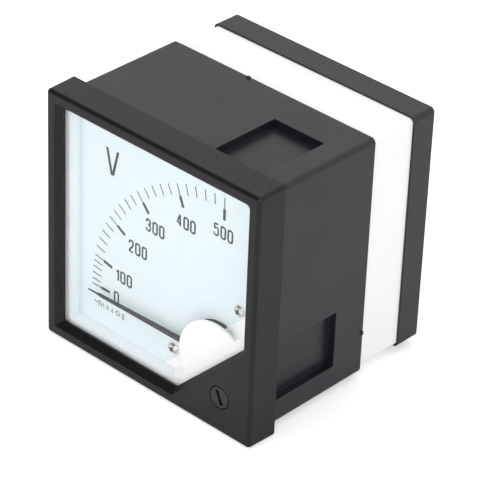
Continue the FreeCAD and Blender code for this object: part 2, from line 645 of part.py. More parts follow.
def build_window():
    """Clear flat window behind the funnel, with its cut corner."""
    body = new_body("window")
    outline = sketch_on(body, "window_outline", "XZ_Plane", GLASS_FRONT)
    diagonal = "sight_diagonal + window_seat * sqrt(2)"
    cut_square(outline, "bezel_cavity_half - fit_gap", diagonal)
    pad(body, outline, "window_thick")


def build_surround():
    """White wall that stands between the window and the dial."""
    body = new_body("dial_surround")
    outline = sketch_on(body, "surround_outline", "XZ_Plane", GLASS_BACK)
    cut_square(outline, "bezel_cavity_half - fit_gap", "surround_diagonal")
    pad(body, outline, f"{DIAL_FRONT} - {GLASS_BACK}")
    inside = sketch_on(body, "surround_inside", "XZ_Plane", GLASS_BACK)
    diagonal = "surround_diagonal - surround_corner_wall * sqrt(2)"
    cut_square(inside, "bezel_cavity_half - fit_gap - surround_wall", diagonal)
    pocket(body, inside, f"{DIAL_FRONT} - {GLASS_BACK}")


def build_hub_cover():
    """White corner cover: a ramped block along the cut corner and a disc over the hub."""
    body = new_body("hub_cover", turn="45")
    low = "hub_line / sqrt(2)"
    step = f"{low} + hub_ramp"
    high = "(surround_diagonal - surround_corner_wall * sqrt(2)) / sqrt(2) - hub_side_gap"
    profile = sketch_on(body, "hub_profile", "XY_Plane")
    foot = f"{DIAL_FRONT} - hub_foot"
    polygon(
        profile,
        [
            (low, DIAL_FRONT),
            (low, foot),
            (step, foot),
            (step, HUB_FRONT),
            (high, HUB_FRONT),
            (high, DIAL_FRONT),
        ],
    )
    block = pad_both(body, profile, "bezel_cavity_half * 2")
    DOC.recompute()
    corner_x = number(step)
    corner_y = number(foot)
    inner = edges_where(block.Shape, lambda p: beside(p.x, corner_x) and beside(p.y, corner_y))
    rounded(body, block, "hub_rise - hub_foot - 0.1", inner)
    disc = sketch_on(body, "hub_disc_outline", "XZ_Plane", HUB_FRONT)
    circle(disc, "hub_disc_out * sqrt(2)", "0", "hub_disc")
    pad(body, disc, "hub_disc_thick")
    trim = "(bezel_cavity_half - fit_gap - surround_wall - hub_side_gap) * sqrt(2)"
    for name, side in (("hub_trim_right", "1"), ("hub_trim_low", "-1")):
        wedge = sketch_on(body, name, "XZ_Plane", HUB_FRONT)
        far = "bezel_side"
        polygon(
            wedge,
            [
                (trim, "0"),
                (f"{trim} - {far}", f"({far}) * {side}"),
                (f"{trim} + {far}", f"({far}) * {side}"),
            ],
        )
        pocket(body, wedge, "hub_rise")
    outer = sketch_on(body, "hub_trim_outer", "XZ_Plane", HUB_FRONT)
    box_outline(outer, high, "bezel_side", "-bezel_side", "bezel_side")
    pocket(body, outer, "hub_rise")
    hollow = sketch_on(body, "hub_hollow", "XZ_Plane", DIAL_FRONT)
    box_outline(hollow, f"{step} + hub_wall", f"{high} - hub_wall", "-hub_disc", "hub_disc")
    pocket(body, hollow, "hub_rise - hub_wall", forward=True)


def build_zero_screw():
    """Black slotted zero screw with the eccentric pin that moves the lever."""
    body = new_body("zero_screw", "zero_out", "0", "-zero_out", "45")
    front = "-bezel_depth"
    neck = f"{front} + zero_head_thick"
    ring_front = f"{CORNER_BACK} + zero_boss_long + zero_run_gap"
    ring_back = f"{ring_front} + ring_thick + zero_run_gap"
    end = f"{CORNER_BACK} + zero_boss_long + zero_end"
    groove = "zero_shank - ring_groove"
    turned(
        body,
        "zero_profile",
        [
            (front, "0"),
            (front, "zero_head"),
            (neck, "zero_head"),
            (neck, "zero_shank"),
            (ring_front, "zero_shank"),
            (ring_front, groove),
            (ring_back, groove),
            (ring_back, "zero_shank"),
            (end, "zero_shank"),
            (end, "0"),
        ],
    )
    pin = sketch_on(body, "zero_pin_outline", "XZ_Plane", end)
    circle(pin, "zero_throw", "0", "zero_pin")
    pad(body, pin, f"{LEVER_BACK} + zero_pin_past - ({end})")
    slot = sketch_on(body, "zero_slot", "XZ_Plane", front)
    half_long = "zero_slot_long / 2"
    half_wide = "zero_slot_wide / 2"
    cos = "cos(zero_slot_turn * 1 deg)"
    sin = "sin(zero_slot_turn * 1 deg)"
    corners = []
    for along, across in ((-1, -1), (1, -1), (1, 1), (-1, 1)):
        x = f"{along} * {half_long} * {cos} + {across} * {half_wide} * {sin}"
        y = f"-{along} * {half_long} * {sin} + {across} * {half_wide} * {cos}"
        corners.append((x.replace("--", ""), y.replace("--", "")))
    polygon(slot, corners)
    pocket(body, slot, "zero_slot_deep")


def build_zero_ring():
    """Open retaining ring in the zero screw's groove, behind the boss."""
    body = new_body("zero_ring", "zero_out", "0", "-zero_out", "45")
    front = f"{CORNER_BACK} + zero_boss_long + zero_run_gap"
    inner = "zero_shank - ring_groove + press_gap"
    turned(
        body,
        "ring_profile",
        [
            (front, inner),
            (front, "ring_outer"),
            (f"{front} + ring_thick", "ring_outer"),
            (f"{front} + ring_thick", inner),
        ],
    )
    mouth = sketch_on(body, "ring_mouth_outline", "XZ_Plane", front)
    box_outline(mouth, "-ring_outer * 1.5", "-zero_shank / 4", "-ring_mouth / 2", "ring_mouth / 2")
    pocket(body, mouth, "ring_thick")


def build_dial():
    """Dial plate with its arc slot and two screw holes, about the pivot."""
    body = new_body("dial_plate", "pivot_out", "0", "-pivot_out")
    half = "bezel_cavity_half - 2 * fit_gap"
    left = f"-({half}) - pivot_out"
    right = f"{half} - pivot_out"
    low = f"pivot_out - ({half})"
    high = f"{half} + pivot_out"
    leg = f"2 * ({half}) - dial_diagonal"
    outline = sketch_on(body, "dial_outline", "XZ_Plane", DIAL_FRONT)
    polygon(
        outline,
        [
            (left, low),
            (f"{right} - ({leg})", low),
            (right, f"{low} + {leg}"),
            (right, high),
            (left, high),
        ],
    )
    pad(body, outline, "dial_thick")
    slot = sketch_on(body, "dial_slot", "XZ_Plane", DIAL_FRONT)
    ring_sector(slot, "slot_inner", "slot_outer", "90 - slot_past", "180 + slot_past")
    pocket(body, slot, "dial_thick")
    for name, x, z in dial_screw_places():
        hole = sketch_on(body, f"dial_hole_{name}", "XZ_Plane", DIAL_FRONT)
        circle(hole, f"{x} - pivot_out", f"{z} + pivot_out", "dial_screw_shank + screw_gap")
        pocket(body, hole, "dial_thick")


def dial_screw_places():
    """The two dial screws: below the pointer and above the hub."""
    return [("1", "dial_screw_near", "-dial_screw_far"), ("2", "dial_screw_far", "-dial_screw_near")]


def build_dial_screws():
    """Cross-recess pan-head screws that hold the dial on its posts."""
    for name, x, z in dial_screw_places():
        body = new_body(f"dial_screw_{name}", x, "0", z)
        top = f"{DIAL_FRONT} - dial_screw_high"
        end = f"{DIAL_BACK} + dial_screw_reach"
        turned(
            body,
            f"dial_screw_profile_{name}",
            [
                (top, "0"),
                (top, "dial_screw_head * 0.55"),
                (f"{top} + dial_screw_high * 0.3", "dial_screw_head * 0.88"),
                (f"{top} + dial_screw_high * 0.65", "dial_screw_head"),
                (DIAL_FRONT, "dial_screw_head"),
                (DIAL_FRONT, "dial_screw_shank"),
                (end, "dial_screw_shank"),
                (end, "0"),
            ],
        )
        recess = sketch_on(body, f"dial_screw_recess_{name}", "XZ_Plane", top)
        cross_outline(recess, "driver_slot / 2", "dial_screw_head * 0.52")
        pocket(body, recess, "dial_screw_high * 0.6")


def cross_outline(sketch, half_wide, reach):
    """A cross of two bars about the origin."""
    corners = []
    for x_sign, y_sign in ((1, 1), (-1, 1), (-1, -1), (1, -1)):
        along = (f"{x_sign} * {reach}", f"{y_sign} * {half_wide}")
        inner = (f"{x_sign} * {half_wide}", f"{y_sign} * {half_wide}")
        across = (f"{x_sign} * {half_wide}", f"{y_sign} * {reach}")
        corners += [along, inner, across] if x_sign * y_sign > 0 else [across, inner, along]
    polygon(sketch, corners)


def build_pointer():
    """Folded sheet pointer: needle and blade over the dial, web through the slot, arm to the hub."""
    body = new_body("pointer", "pivot_out", "0", "-pivot_out", "pointer_rest")
    blade = sketch_on(body, "blade_outline", "XZ_Plane", BLADE_FRONT)
    stations = [
        ("pointer_reach", "tip_wide / 2"),
        ("needle_at", "needle_wide / 2"),
        ("blade_end_at", "blade_wide_end / 2"),
        ("web_radius", "blade_wide / 2"),
    ]
    lower = [(f"-{radius}", f"-{half}") for radius, half in stations]
    upper = [(f"-{radius}", half) for radius, half in reversed(stations)]
    polygon(blade, lower + upper)
    pad(body, blade, "blade_thick")
    fold = sketch_on(body, "blade_fold_outline", "YZ_Plane", "-web_radius - web_thick")
    base = BLADE_FRONT
    polygon(
        fold,
        [
            (base, "-blade_wide_end / 2"),
            (base, "blade_wide_end / 2"),
            (f"{base} - blade_fold", "blade_wide_end / 4"),
        ],
    )
    pad(body, fold, "blade_end_at - web_radius - web_thick")
    web = sketch_on(body, "web_outline", "XZ_Plane", BLADE_BACK)
    box_outline(web, "-web_radius - web_thick", "-web_radius", "-web_wide / 2", "web_wide / 2")
    pad(body, web, f"arm_level + blade_thick - {BLADE_BACK}")
    arm = sketch_on(body, "arm_outline", "XZ_Plane", "arm_level")
    box_outline(arm, "-web_radius - web_thick", "0", "-web_wide / 2", "web_wide / 2")
    pad(body, arm, "blade_thick")
    hub = sketch_on(body, "pointer_hub_outline", "XZ_Plane", "arm_level")
    circle(hub, "0", "0", "pointer_hub")
    pad(body, hub, "blade_thick")
    bore = sketch_on(body, "pointer_bore", "XZ_Plane", "arm_level")
    circle(bore, "0", "0", "spindle_radius + press_gap")
    pocket(body, bore, "blade_thick")


def build_spindle():
    """Steel spindle with pivot cones and the collet that holds the spring."""
    body = new_body("spindle", "pivot_out", "0", "-pivot_out")
    start = f"{JEWEL_END} - jewel_cup_deep / 2"
    end = f"{REAR_JEWEL_END} + jewel_cup_deep / 2"
    collet = "spring_level - collet_long / 2 + spring_deep / 2"
    turned(
        body,
        "spindle_profile",
        [
            (start, "0"),
            (start, "pivot_tip"),
            (f"{start} + pivot_taper", "spindle_radius"),
            (collet, "spindle_radius"),
            (collet, "collet_radius"),
            (f"{collet} + collet_long", "collet_radius"),
            (f"{collet} + collet_long", "spindle_radius"),
            (f"{end} - pivot_taper", "spindle_radius"),
            (end, "pivot_tip"),
            (end, "0"),
        ],
    )


def build_hairspring():
    """Flat spiral hairspring, from the collet to the lever's tab, in half-turn arcs."""
    half_turns = int(number("spring_half_turns"))
    start = number("collet_radius")
    finish = number("tab_at")
    grow = (finish - start) / half_turns
    half_strip = number("spring_strip") / 2
    rims = []
    for shift in (-half_strip, half_strip):
        arcs = []
        radius = start + half_strip + grow / 2
        centre = 0.0
        side = 1
        for k in range(half_turns):
            near = FreeCAD.Vector(centre - side * (radius + shift), 0, 0)
            far = FreeCAD.Vector(centre + side * (radius + shift), 0, 0)
            top = FreeCAD.Vector(centre, 0, side * (radius + shift))
            arcs.append(Part.Arc(near, top, far).toShape())
            centre -= side * grow / 2
            radius += grow / 2
            side = -side
        rims.append(arcs)
    inner, outer = rims
    caps = [
        Part.makeLine(inner[0].Vertexes[0].Point, outer[0].Vertexes[0].Point),
        Part.makeLine(inner[-1].Vertexes[-1].Point, outer[-1].Vertexes[-1].Point),
    ]
    face = Part.Face(Part.Wire(Part.__sortEdges__(inner + outer + caps)))
    strip = face.extrude(FreeCAD.Vector(0, number("spring_deep"), 0))
    spring = DOC.addObject("Part::Feature", "hairspring")
    spring.Label = "hairspring"
    spring.Shape = strip
    place(spring, "pivot_out", "spring_level", "-pivot_out", "45")
    NODES.append(spring)


def build_vane():
    """Aluminium damping vane: a sector with two cut-outs, on the spindle."""
    body = new_body("damping_vane", "pivot_out", "0", "-pivot_out", "vane_centre")
    sector = sketch_on(body, "vane_outline", "XZ_Plane", "vane_level")
    ring_sector(
        sector, "spindle_radius + press_gap", "vane_radius", "-vane_half_angle", "vane_half_angle"
    )
    pad(body, sector, "vane_thick")
    hub = sketch_on(body, "vane_hub_outline", "XZ_Plane", "vane_level")
    circle(hub, "0", "0", "balance_hub")
    pad(body, hub, "vane_thick")
    bore = sketch_on(body, "vane_bore", "XZ_Plane", "vane_level")
    circle(bore, "0", "0", "spindle_radius + press_gap")
    pocket(body, bore, "vane_thick")
    near = "vane_spoke_angle"
    far = "vane_half_angle - vane_spoke_angle"
    for name, first, last in (("upper", near, far), ("lower", f"-({far})", f"-{near}")):
        cut = sketch_on(body, f"vane_cut_{name}", "XZ_Plane", "vane_level")
        ring_sector(cut, "vane_cut_inner", "vane_cut_outer", first, last)
        pocket(body, cut, "vane_thick")


def arm_ends():
    """Balance arms: turn about Y from the pointer's tail, length and kind of weight."""
    return [
        ("0", "tail_arm", "tail_weight"),
        ("-90", "side_arm", "side_weight"),
        ("90", "side_arm", "side_weight"),
    ]


def build_balance():
    """Cross of three wires on a hub, with a brass weight on each."""
    body = new_body("balance_cross", "pivot_out", "arms_level", "-pivot_out", "pointer_rest")
    turned(
        body,
        "balance_hub_profile",
        [
            ("-arm_wire * 1.5", "spindle_radius + press_gap"),
            ("-arm_wire * 1.5", "balance_hub"),
            ("arm_wire * 1.5", "balance_hub"),
            ("arm_wire * 1.5", "spindle_radius + press_gap"),
        ],
    )
    tail = sketch_on(body, "tail_wire", "YZ_Plane", "spindle_radius + press_gap + arm_wire / 2")
    circle(tail, "0", "0", "arm_wire")
    pad(body, tail, "tail_arm - spindle_radius - press_gap - arm_wire / 2", forward=True)
    for name, level, forward in (("upper", "1", True), ("lower", "-1", False)):
        start = f"{level} * (spindle_radius + press_gap + arm_wire / 2)"
        wire = sketch_on(body, f"{name}_wire", "XY_Plane", start)
        circle(wire, "0", "0", "arm_wire")
        pad(body, wire, "side_arm - spindle_radius - press_gap - arm_wire / 2", forward=forward)
    for place_number, (turn, length, kind) in enumerate(arm_ends(), start=1):
        build_weight(place_number, turn, length, kind)


def build_weight(place_number, turn, length, kind):
    """One brass weight, a tube on its arm."""
    weight = new_body(
        f"balance_weight_{place_number}", "pivot_out", "arms_level", "-pivot_out", f"pointer_rest + {turn}"
    )
    start = f"{length} - weight_end_gap - {kind}_long"
    tube = sketch_on(weight, f"weight_outline_{place_number}", "YZ_Plane", start)
    circle(tube, "0", "0", f"{kind}_radius")
    circle(tube, "0", "0", "arm_wire + press_gap")
    pad(weight, tube, f"{kind}_long", forward=True)


def build_moving_iron():
    """Curved iron on the spindle, inside the coil."""
    body = new_body("moving_iron", "pivot_out", "0", "-pivot_out", "pointer_rest")
    start = f"{PLATE_BACK} + (bobbin_long - iron_long) / 2"
    plate = sketch_on(body, "iron_outline", "XZ_Plane", start)
    ring_sector(plate, "iron_inner", "iron_inner + iron_thick", "-iron_half_angle", "iron_half_angle")
    pad(body, plate, "iron_long")
    web = sketch_on(body, "iron_web", "XZ_Plane", start)
    box_outline(web, "iron_hub - 0.3", "iron_inner + iron_thick / 2", "-iron_thick / 2", "iron_thick / 2")
    pad(body, web, "iron_long")
    hub = sketch_on(body, "iron_hub_outline", "XZ_Plane", start)
    circle(hub, "0", "0", "iron_hub")
    pad(body, hub, "iron_long")
    bore = sketch_on(body, "iron_bore", "XZ_Plane", start)
    circle(bore, "0", "0", "spindle_radius + press_gap")
    pocket(body, bore, "iron_long")


def build_fixed_iron():
    """Curved iron against the bobbin's bore, narrower towards one end."""
    body = new_body("fixed_iron", "pivot_out", "0", "-pivot_out", "200")
    start = f"{PLATE_BACK} + (bobbin_long - fixed_iron_long) / 2"
    outer = "bobbin_bore - fixed_iron_gap"
    plate = sketch_on(body, "fixed_iron_outline", "XZ_Plane", start)
    angle = "fixed_iron_half_angle"
    ring_sector(plate, f"{outer} - fixed_iron_thick", outer, f"-{angle}", angle)
    pad(body, plate, "fixed_iron_long")
    taper = sketch_on(body, "fixed_iron_taper", "YZ_Plane", "bobbin_bore")
    polygon(
        taper,
        [
            (f"{start} - 1", "bobbin_bore"),
            (f"{start} - 1", "0"),
            (f"{start} + fixed_iron_long * 0.7", "bobbin_bore"),
        ],
    )
    pocket(body, taper, "bobbin_bore", forward=False)


def build_bobbin():
    """Moulded bobbin with a thick rear flange and two pegs into the plate."""
    body = new_body("coil_bobbin", "pivot_out", "0", "-pivot_out", "45")
    tube = "bobbin_bore + bobbin_wall"
    turned(
        body,
        "bobbin_profile",
        [
            (PLATE_BACK, "bobbin_bore"),
            (PLATE_BACK, "bobbin_flange"),
            (f"{PLATE_BACK} + flange_thick", "bobbin_flange"),
            (f"{PLATE_BACK} + flange_thick", tube),
            (f"{BOBBIN_BACK} - rear_flange_thick", tube),
            (f"{BOBBIN_BACK} - rear_flange_thick", "bobbin_flange"),
            (BOBBIN_BACK, "bobbin_flange"),
            (BOBBIN_BACK, "bobbin_bore"),
        ],
    )
    pegs = sketch_on(body, "bobbin_pegs", "XZ_Plane", PLATE_BACK)
    circle(pegs, "peg_at", "0", "peg_radius")
    circle(pegs, "-peg_at", "0", "peg_radius")
    pad(body, pegs, "plate_thick", forward=True)
    holes = sketch_on(body, "rear_flange_holes", "XZ_Plane", BOBBIN_BACK)
    circle(holes, "0", "rear_screw_at", "small_screw_shank + screw_gap")
    circle(holes, "0", "-rear_screw_at", "small_screw_shank + screw_gap")
    pocket(body, holes, "rear_flange_thick", forward=True)


def build_winding():
    """The coil's winding, a ring between the flanges."""
    body = new_body("coil_winding", "pivot_out", "0", "-pivot_out")
    start = f"{PLATE_BACK} + flange_thick + winding_gap"
    end = f"{BOBBIN_BACK} - rear_flange_thick - winding_gap"
    inner = "bobbin_bore + bobbin_wall + winding_gap"
    outer = "bobbin_flange - winding_below"
    turned(body, "winding_profile", [(start, inner), (start, outer), (end, outer), (end, inner)])


def build_movement_plate():
    """Steel plate that carries the bridges, coil, magnet and posts."""
    body = new_body("movement_plate")
    outline = sketch_on(body, "plate_outline", "XZ_Plane", "plate_level")
    polygon(
        outline,
        [
            ("plate_edge", "-plate_side"),
            ("plate_side - plate_corner", "-plate_side"),
            ("plate_side", "plate_corner - plate_side"),
            ("plate_side", "-plate_edge"),
            ("plate_edge + plate_corner", "-plate_edge"),
            ("plate_edge", "-plate_edge - plate_corner"),
        ],
    )
    pad(body, outline, "plate_thick")
    bore = sketch_on(body, "plate_bore_outline", "XZ_Plane", "plate_level")
    circle(bore, "pivot_out", "-pivot_out", "plate_bore")
    pocket(body, bore, "plate_thick")
    holes = sketch_on(body, "plate_holes", "XZ_Plane", "plate_level")
    for name, x, z in dial_screw_places():
        circle(holes, x, z, "post_stub + screw_gap")
    circle(holes, "third_pillar_at", "-third_pillar_at", "pillar_screw + screw_gap")
    slant = "sqrt(2)"
    for sign in ("+", "-"):
        peg_x = f"pivot_out {sign} peg_at / {slant}"
        peg_z = f"-(pivot_out {sign} peg_at / {slant})"
        circle(holes, peg_x, peg_z, "peg_radius + press_gap")
        foot_x = f"pivot_out {sign} foot_screw_at / {slant}"
        foot_z = f"-pivot_out {sign} foot_screw_at / {slant}"
        circle(holes, foot_x, foot_z, "small_screw_shank + screw_gap")
    pocket(body, holes, "plate_thick")


def build_front_bridge():
    """U-shaped bridge over the movement, with its feet turned in."""
    body = new_body("front_bridge", "pivot_out", "0", "-pivot_out", "45")
    front = "bridge_level"
    under = "bridge_level + bridge_thick"
    outside = "bridge_inside + bridge_thick"
    foot = "plate_level - bridge_thick"
    half = [
        (front, outside),
        ("plate_level", outside),
        ("plate_level", "bridge_foot_inner"),
        (foot, "bridge_foot_inner"),
        (foot, "bridge_inside"),
        (under, "bridge_inside"),
    ]
    other = [(y, f"-({z})") for y, z in reversed(half)]
    profile = sketch_on(body, "bridge_profile", "YZ_Plane")
    polygon(profile, half + other)
    pad_both(body, profile, "bridge_wide")
    hub = sketch_on(body, "bridge_hub", "XZ_Plane", front)
    circle(hub, "0", "0", "lever_ring")
    pad(body, hub, "bridge_thick")
    bore = sketch_on(body, "bridge_bore", "XZ_Plane", front)
    circle(bore, "0", "0", "jewel_shank + press_gap")
    pocket(body, bore, "bridge_thick")
    holes = sketch_on(body, "bridge_foot_holes", "XZ_Plane", foot)
    circle(holes, "0", "foot_screw_at", "small_screw_shank + screw_gap")
    circle(holes, "0", "-foot_screw_at", "small_screw_shank + screw_gap")
    pocket(body, holes, "bridge_thick")


def build_rear_bridge():
    """Flat bar across the bobbin's rear flange."""
    body = new_body("rear_bridge", "pivot_out", "0", "-pivot_out", "45")
    bar = sketch_on(body, "rear_bar", "XZ_Plane", BOBBIN_BACK)
    box_outline(bar, "-bridge_wide / 2", "bridge_wide / 2", "-rear_bridge_half", "rear_bridge_half")
    pad(body, bar, "bridge_thick")
    hub = sketch_on(body, "rear_hub", "XZ_Plane", BOBBIN_BACK)
    circle(hub, "0", "0", "lever_ring")
    pad(body, hub, "bridge_thick")
    bores = sketch_on(body, "rear_bores", "XZ_Plane", BOBBIN_BACK)
    circle(bores, "0", "0", "jewel_shank + press_gap")
    circle(bores, "0", "rear_screw_at", "small_screw_shank + screw_gap")
    circle(bores, "0", "-rear_screw_at", "small_screw_shank + screw_gap")
    pocket(body, bores, "bridge_thick")


def slotted_screw(label, x, z, turn, seat, reach, sizes, facing=1):
    """Cheese-head screw: its head on the seat, its shank running the other way."""
    shank, head, high = sizes
    body = new_body(label, x, "0", z, turn)
    top = f"{seat} - {facing} * ({high})"
    end = f"{seat} + {facing} * ({reach})"
    turned(
        body,
        f"{label}_profile",
        [(top, "0"), (top, head), (seat, head), (seat, shank), (end, shank), (end, "0")],
    )
    slot = sketch_on(body, f"{label}_slot", "XZ_Plane", top)
    box_outline(slot, "-driver_slot / 2", "driver_slot / 2", f"-({head}) * 1.2", f"({head}) * 1.2")
    pocket(body, slot, "driver_slot", forward=facing < 0)
    return body


def build_bridge_screws():
    """Two screws in the front bridge's feet and two in the rear bridge."""
    sizes = ("small_screw_shank", "small_screw_head", "small_screw_high")
    foot = "plate_level - bridge_thick"
    rear = f"{BOBBIN_BACK} + bridge_thick"
    for name, sign in (("1", "+"), ("2", "-")):
        x = f"pivot_out {sign} foot_screw_at / sqrt(2)"
        z = f"-pivot_out {sign} foot_screw_at / sqrt(2)"
        slotted_screw(f"bridge_screw_{name}", x, z, "0", foot, "bridge_thick + plate_thick", sizes)
        x = f"pivot_out {sign} rear_screw_at / sqrt(2)"
        z = f"-pivot_out {sign} rear_screw_at / sqrt(2)"
        reach = "bridge_thick + rear_flange_thick - fit_gap"
        slotted_screw(f"rear_bridge_screw_{name}", x, z, "0", rear, reach, sizes, facing=-1)


def build_jewel_screws():
    """Front and rear bearing screws, each with a cup for the spindle's pivot."""
    front = slotted_screw(
        "front_jewel_screw",
        "pivot_out",
        "-pivot_out",
        "0",
        f"{LEVER_FRONT} - lever_gap",
        f"{JEWEL_END} - ({LEVER_FRONT} - lever_gap)",
        ("jewel_shank", "jewel_head", "jewel_high"),
    )
    cup = sketch_on(front, "front_cup", "XZ_Plane", JEWEL_END)
    circle(cup, "0", "0", "jewel_cup")
    pocket(front, cup, "jewel_cup_deep", forward=True)
    rear_seat = f"{BOBBIN_BACK} + bridge_thick"
    rear = slotted_screw(
        "rear_jewel_screw",
        "pivot_out",
        "-pivot_out",
        "0",
        rear_seat,
        f"{rear_seat} - {REAR_JEWEL_END}",
        ("jewel_shank", "jewel_head", "jewel_high"),
        facing=-1,
    )
    rear_cup = sketch_on(rear, "rear_cup", "XZ_Plane", REAR_JEWEL_END)
    circle(rear_cup, "0", "0", "jewel_cup")
    pocket(rear, rear_cup, "jewel_cup_deep")


def build_zero_lever():
    """Sheet lever about the front jewel screw: fork at the pin, tab for the spring's end."""
    body = new_body("zero_lever", "pivot_out", "0", "-pivot_out", "45")
    ring = sketch_on(body, "lever_ring_outline", "XZ_Plane", LEVER_FRONT)
    circle(ring, "0", "0", "lever_ring")
    pad(body, ring, "lever_thick")
    arm = sketch_on(body, "lever_arm", "XZ_Plane", LEVER_FRONT)
    box_outline(arm, "0", "lever_reach", "-lever_arm_wide / 2", "lever_arm_wide / 2")
    pad(body, arm, "lever_thick")
    ear = sketch_on(body, "lever_ear", "XZ_Plane", LEVER_FRONT)
    box_outline(ear, "tab_at - tab_wide / 2", "tab_at + lever_thick", "0", "tab_side + tab_wide")
    pad(body, ear, "lever_thick")
    tab = sketch_on(body, "spring_tab", "XZ_Plane", LEVER_BACK)
    box_outline(tab, "tab_at", "tab_at + lever_thick", "tab_side", "tab_side + tab_wide")
    pad(body, tab, f"spring_level + spring_deep - {LEVER_BACK}")
    fork = sketch_on(body, "fork_slot", "XZ_Plane", LEVER_FRONT)
    half = "(zero_pin + fork_gap)"
    box_outline(fork, "fork_foot", "lever_reach", f"-{half}", half)
    pocket(body, fork, "lever_thick")
    bore = sketch_on(body, "lever_bore", "XZ_Plane", LEVER_FRONT)
    circle(bore, "0", "0", "jewel_shank + zero_run_gap")
    pocket(body, bore, "lever_thick")


def build_magnet():
    """C-shaped damping magnet whose gap takes the vane's rim."""
    body = new_body("damping_magnet", "pivot_out", "0", "-pivot_out", "45")
    middle = "(vane_level + vane_thick / 2)"
    throat = "vane_radius + magnet_throat"
    profile = sketch_on(body, "magnet_profile", "XY_Plane")
    polygon(
        profile,
        [
            ("magnet_inner", "magnet_front"),
            ("magnet_outer", "magnet_front"),
            ("magnet_outer", "plate_level"),
            ("magnet_inner", "plate_level"),
            ("magnet_inner", f"{middle} + magnet_gap / 2"),
            (throat, f"{middle} + magnet_gap / 2"),
            (throat, f"{middle} - magnet_gap / 2"),
            ("magnet_inner", f"{middle} - magnet_gap / 2"),
        ],
    )
    pad_both(body, profile, "magnet_wide")


def build_posts():
    """Dial posts in front of the plate and pillars behind it."""
    for name, x, z in dial_screw_places():
        post = new_body(f"dial_post_{name}", x, "0", z)
        outline = sketch_on(post, f"post_outline_{name}", "XZ_Plane", DIAL_BACK)
        hexagon(outline, "post_flats")
        pad(post, outline, f"plate_level - {DIAL_BACK}")
        stub = sketch_on(post, f"post_stub_{name}", "XZ_Plane", "plate_level")
        circle(stub, "0", "0", "post_stub")
        pad(post, stub, "plate_thick + post_stub_long")
        bore = sketch_on(post, f"post_bore_{name}", "XZ_Plane", DIAL_BACK)
        circle(bore, "0", "0", "post_bore")
        pocket(post, bore, "post_bore_deep")
    places = dial_screw_places() + [("3", "third_pillar_at", "-third_pillar_at")]
    for name, x, z in places:
        pillar = new_body(f"plate_pillar_{name}", x, "0", z)
        outline = sketch_on(pillar, f"pillar_outline_{name}", "XZ_Plane", PLATE_BACK)
        hexagon(outline, "pillar_flats")
        pad(pillar, outline, f"{FLOOR_FRONT} - {PLATE_BACK}")
        bore = sketch_on(pillar, f"pillar_bore_{name}", "XZ_Plane", PLATE_BACK)
        circle(bore, "0", "0", "pillar_screw + screw_gap")
        pocket(pillar, bore, f"{FLOOR_FRONT} - {PLATE_BACK}")
    sizes = ("pillar_screw", "pillar_screw_head", "pillar_screw_high")
    slotted_screw(
        "plate_screw",
        "third_pillar_at",
        "-third_pillar_at",
        "30",
        "plate_level",
        "plate_thick + pillar_screw_reach",
        sizes,
    )
    for name, x, z in places:
        slotted_screw(
            f"pillar_screw_{name}",
            x,
            z,
            "-20",
            FLOOR_BACK,
            "base_floor + pillar_screw_reach",
            sizes,
            facing=-1,
        )


def build_body_case():
    """Black housing: front collar, clip pockets and corner bosses."""
    body = new_body("body_case")
    outline = sketch_on(body, "body_outline", "XZ_Plane", "-spigot_depth")
    square_outline(outline, "body_side / 2")
    shell = pad(body, outline, "body_depth + spigot_depth")
    DOC.recompute()
    depth = number("body_depth + spigot_depth")
    corners = long_edges(shell.Shape, number("body_side / 2"), 0, depth)
    rounded(body, shell, "body_round", corners)
    opening = sketch_on(body, "collar_opening", "XZ_Plane", "-spigot_depth")
    square_outline(opening, "collar_inside_half")
    pocket(body, opening, "spigot_depth + collar_deep")
    inside = sketch_on(body, "body_inside", "XZ_Plane", "body_depth")
    square_outline(inside, "body_inside_half")
    pocket(body, inside, "body_depth - collar_deep", forward=True)
    add_corner_bosses(body)
    backing = sketch_on(body, "clip_backing", "XZ_Plane")
    inner_face = "body_side / 2 - clip_deep - clip_wall"
    box_outline(
        backing, "clip_near - clip_wall", "clip_far + clip_wall", inner_face, "body_inside_half + fit_gap"
    )
    backing_pad = pad(body, backing, "clip_long + clip_wall")
    pocket_sketch = sketch_on(body, "clip_pocket", "XZ_Plane")
    box_outline(
        pocket_sketch, "clip_near", "clip_far", "body_side / 2 - clip_deep", "body_side / 2 + clip_deep"
    )
    clip_cut = pocket(body, pocket_sketch, "clip_long")
    quarter_pattern(body, [backing_pad, clip_cut])
    DOC.recompute()
    add_nubs(body)


def add_corner_bosses(body):
    """Bosses for the long case screws, joined to the housing's corners."""
    length = f"{FLOOR_FRONT} - boss_start"
    for name, x_sign, z_sign in corner_signs():
        outline = sketch_on(body, f"boss_outline_{name}", "XZ_Plane", "boss_start")
        box_outline_signed(outline, x_sign, z_sign, "boss_out - boss_radius", "body_inside_half + fit_gap")
        pad(body, outline, length)
        bore = sketch_on(body, f"boss_bore_{name}", "XZ_Plane", FLOOR_FRONT)
        circle(bore, f"{x_sign} * boss_out", f"{z_sign} * boss_out", "case_screw + screw_gap")
        pocket(body, bore, "case_screw_reach + fit_gap", forward=True)


def box_outline_signed(sketch, x_sign, z_sign, near, far):
    """A square in one corner, between two distances from both centre lines."""
    left, right = (f"{x_sign} * ({near})", f"{x_sign} * ({far})")
    low, high = (f"{z_sign} * ({near})", f"{z_sign} * ({far})")
    if x_sign < 0:
        left, right = right, left
    if z_sign < 0:
        low, high = high, low
    box_outline(sketch, left, right, low, high)


def corner_signs():
    """Name and signs of the four corners."""
    return [("1", 1, 1), ("2", -1, 1), ("3", -1, -1), ("4", 1, -1)]


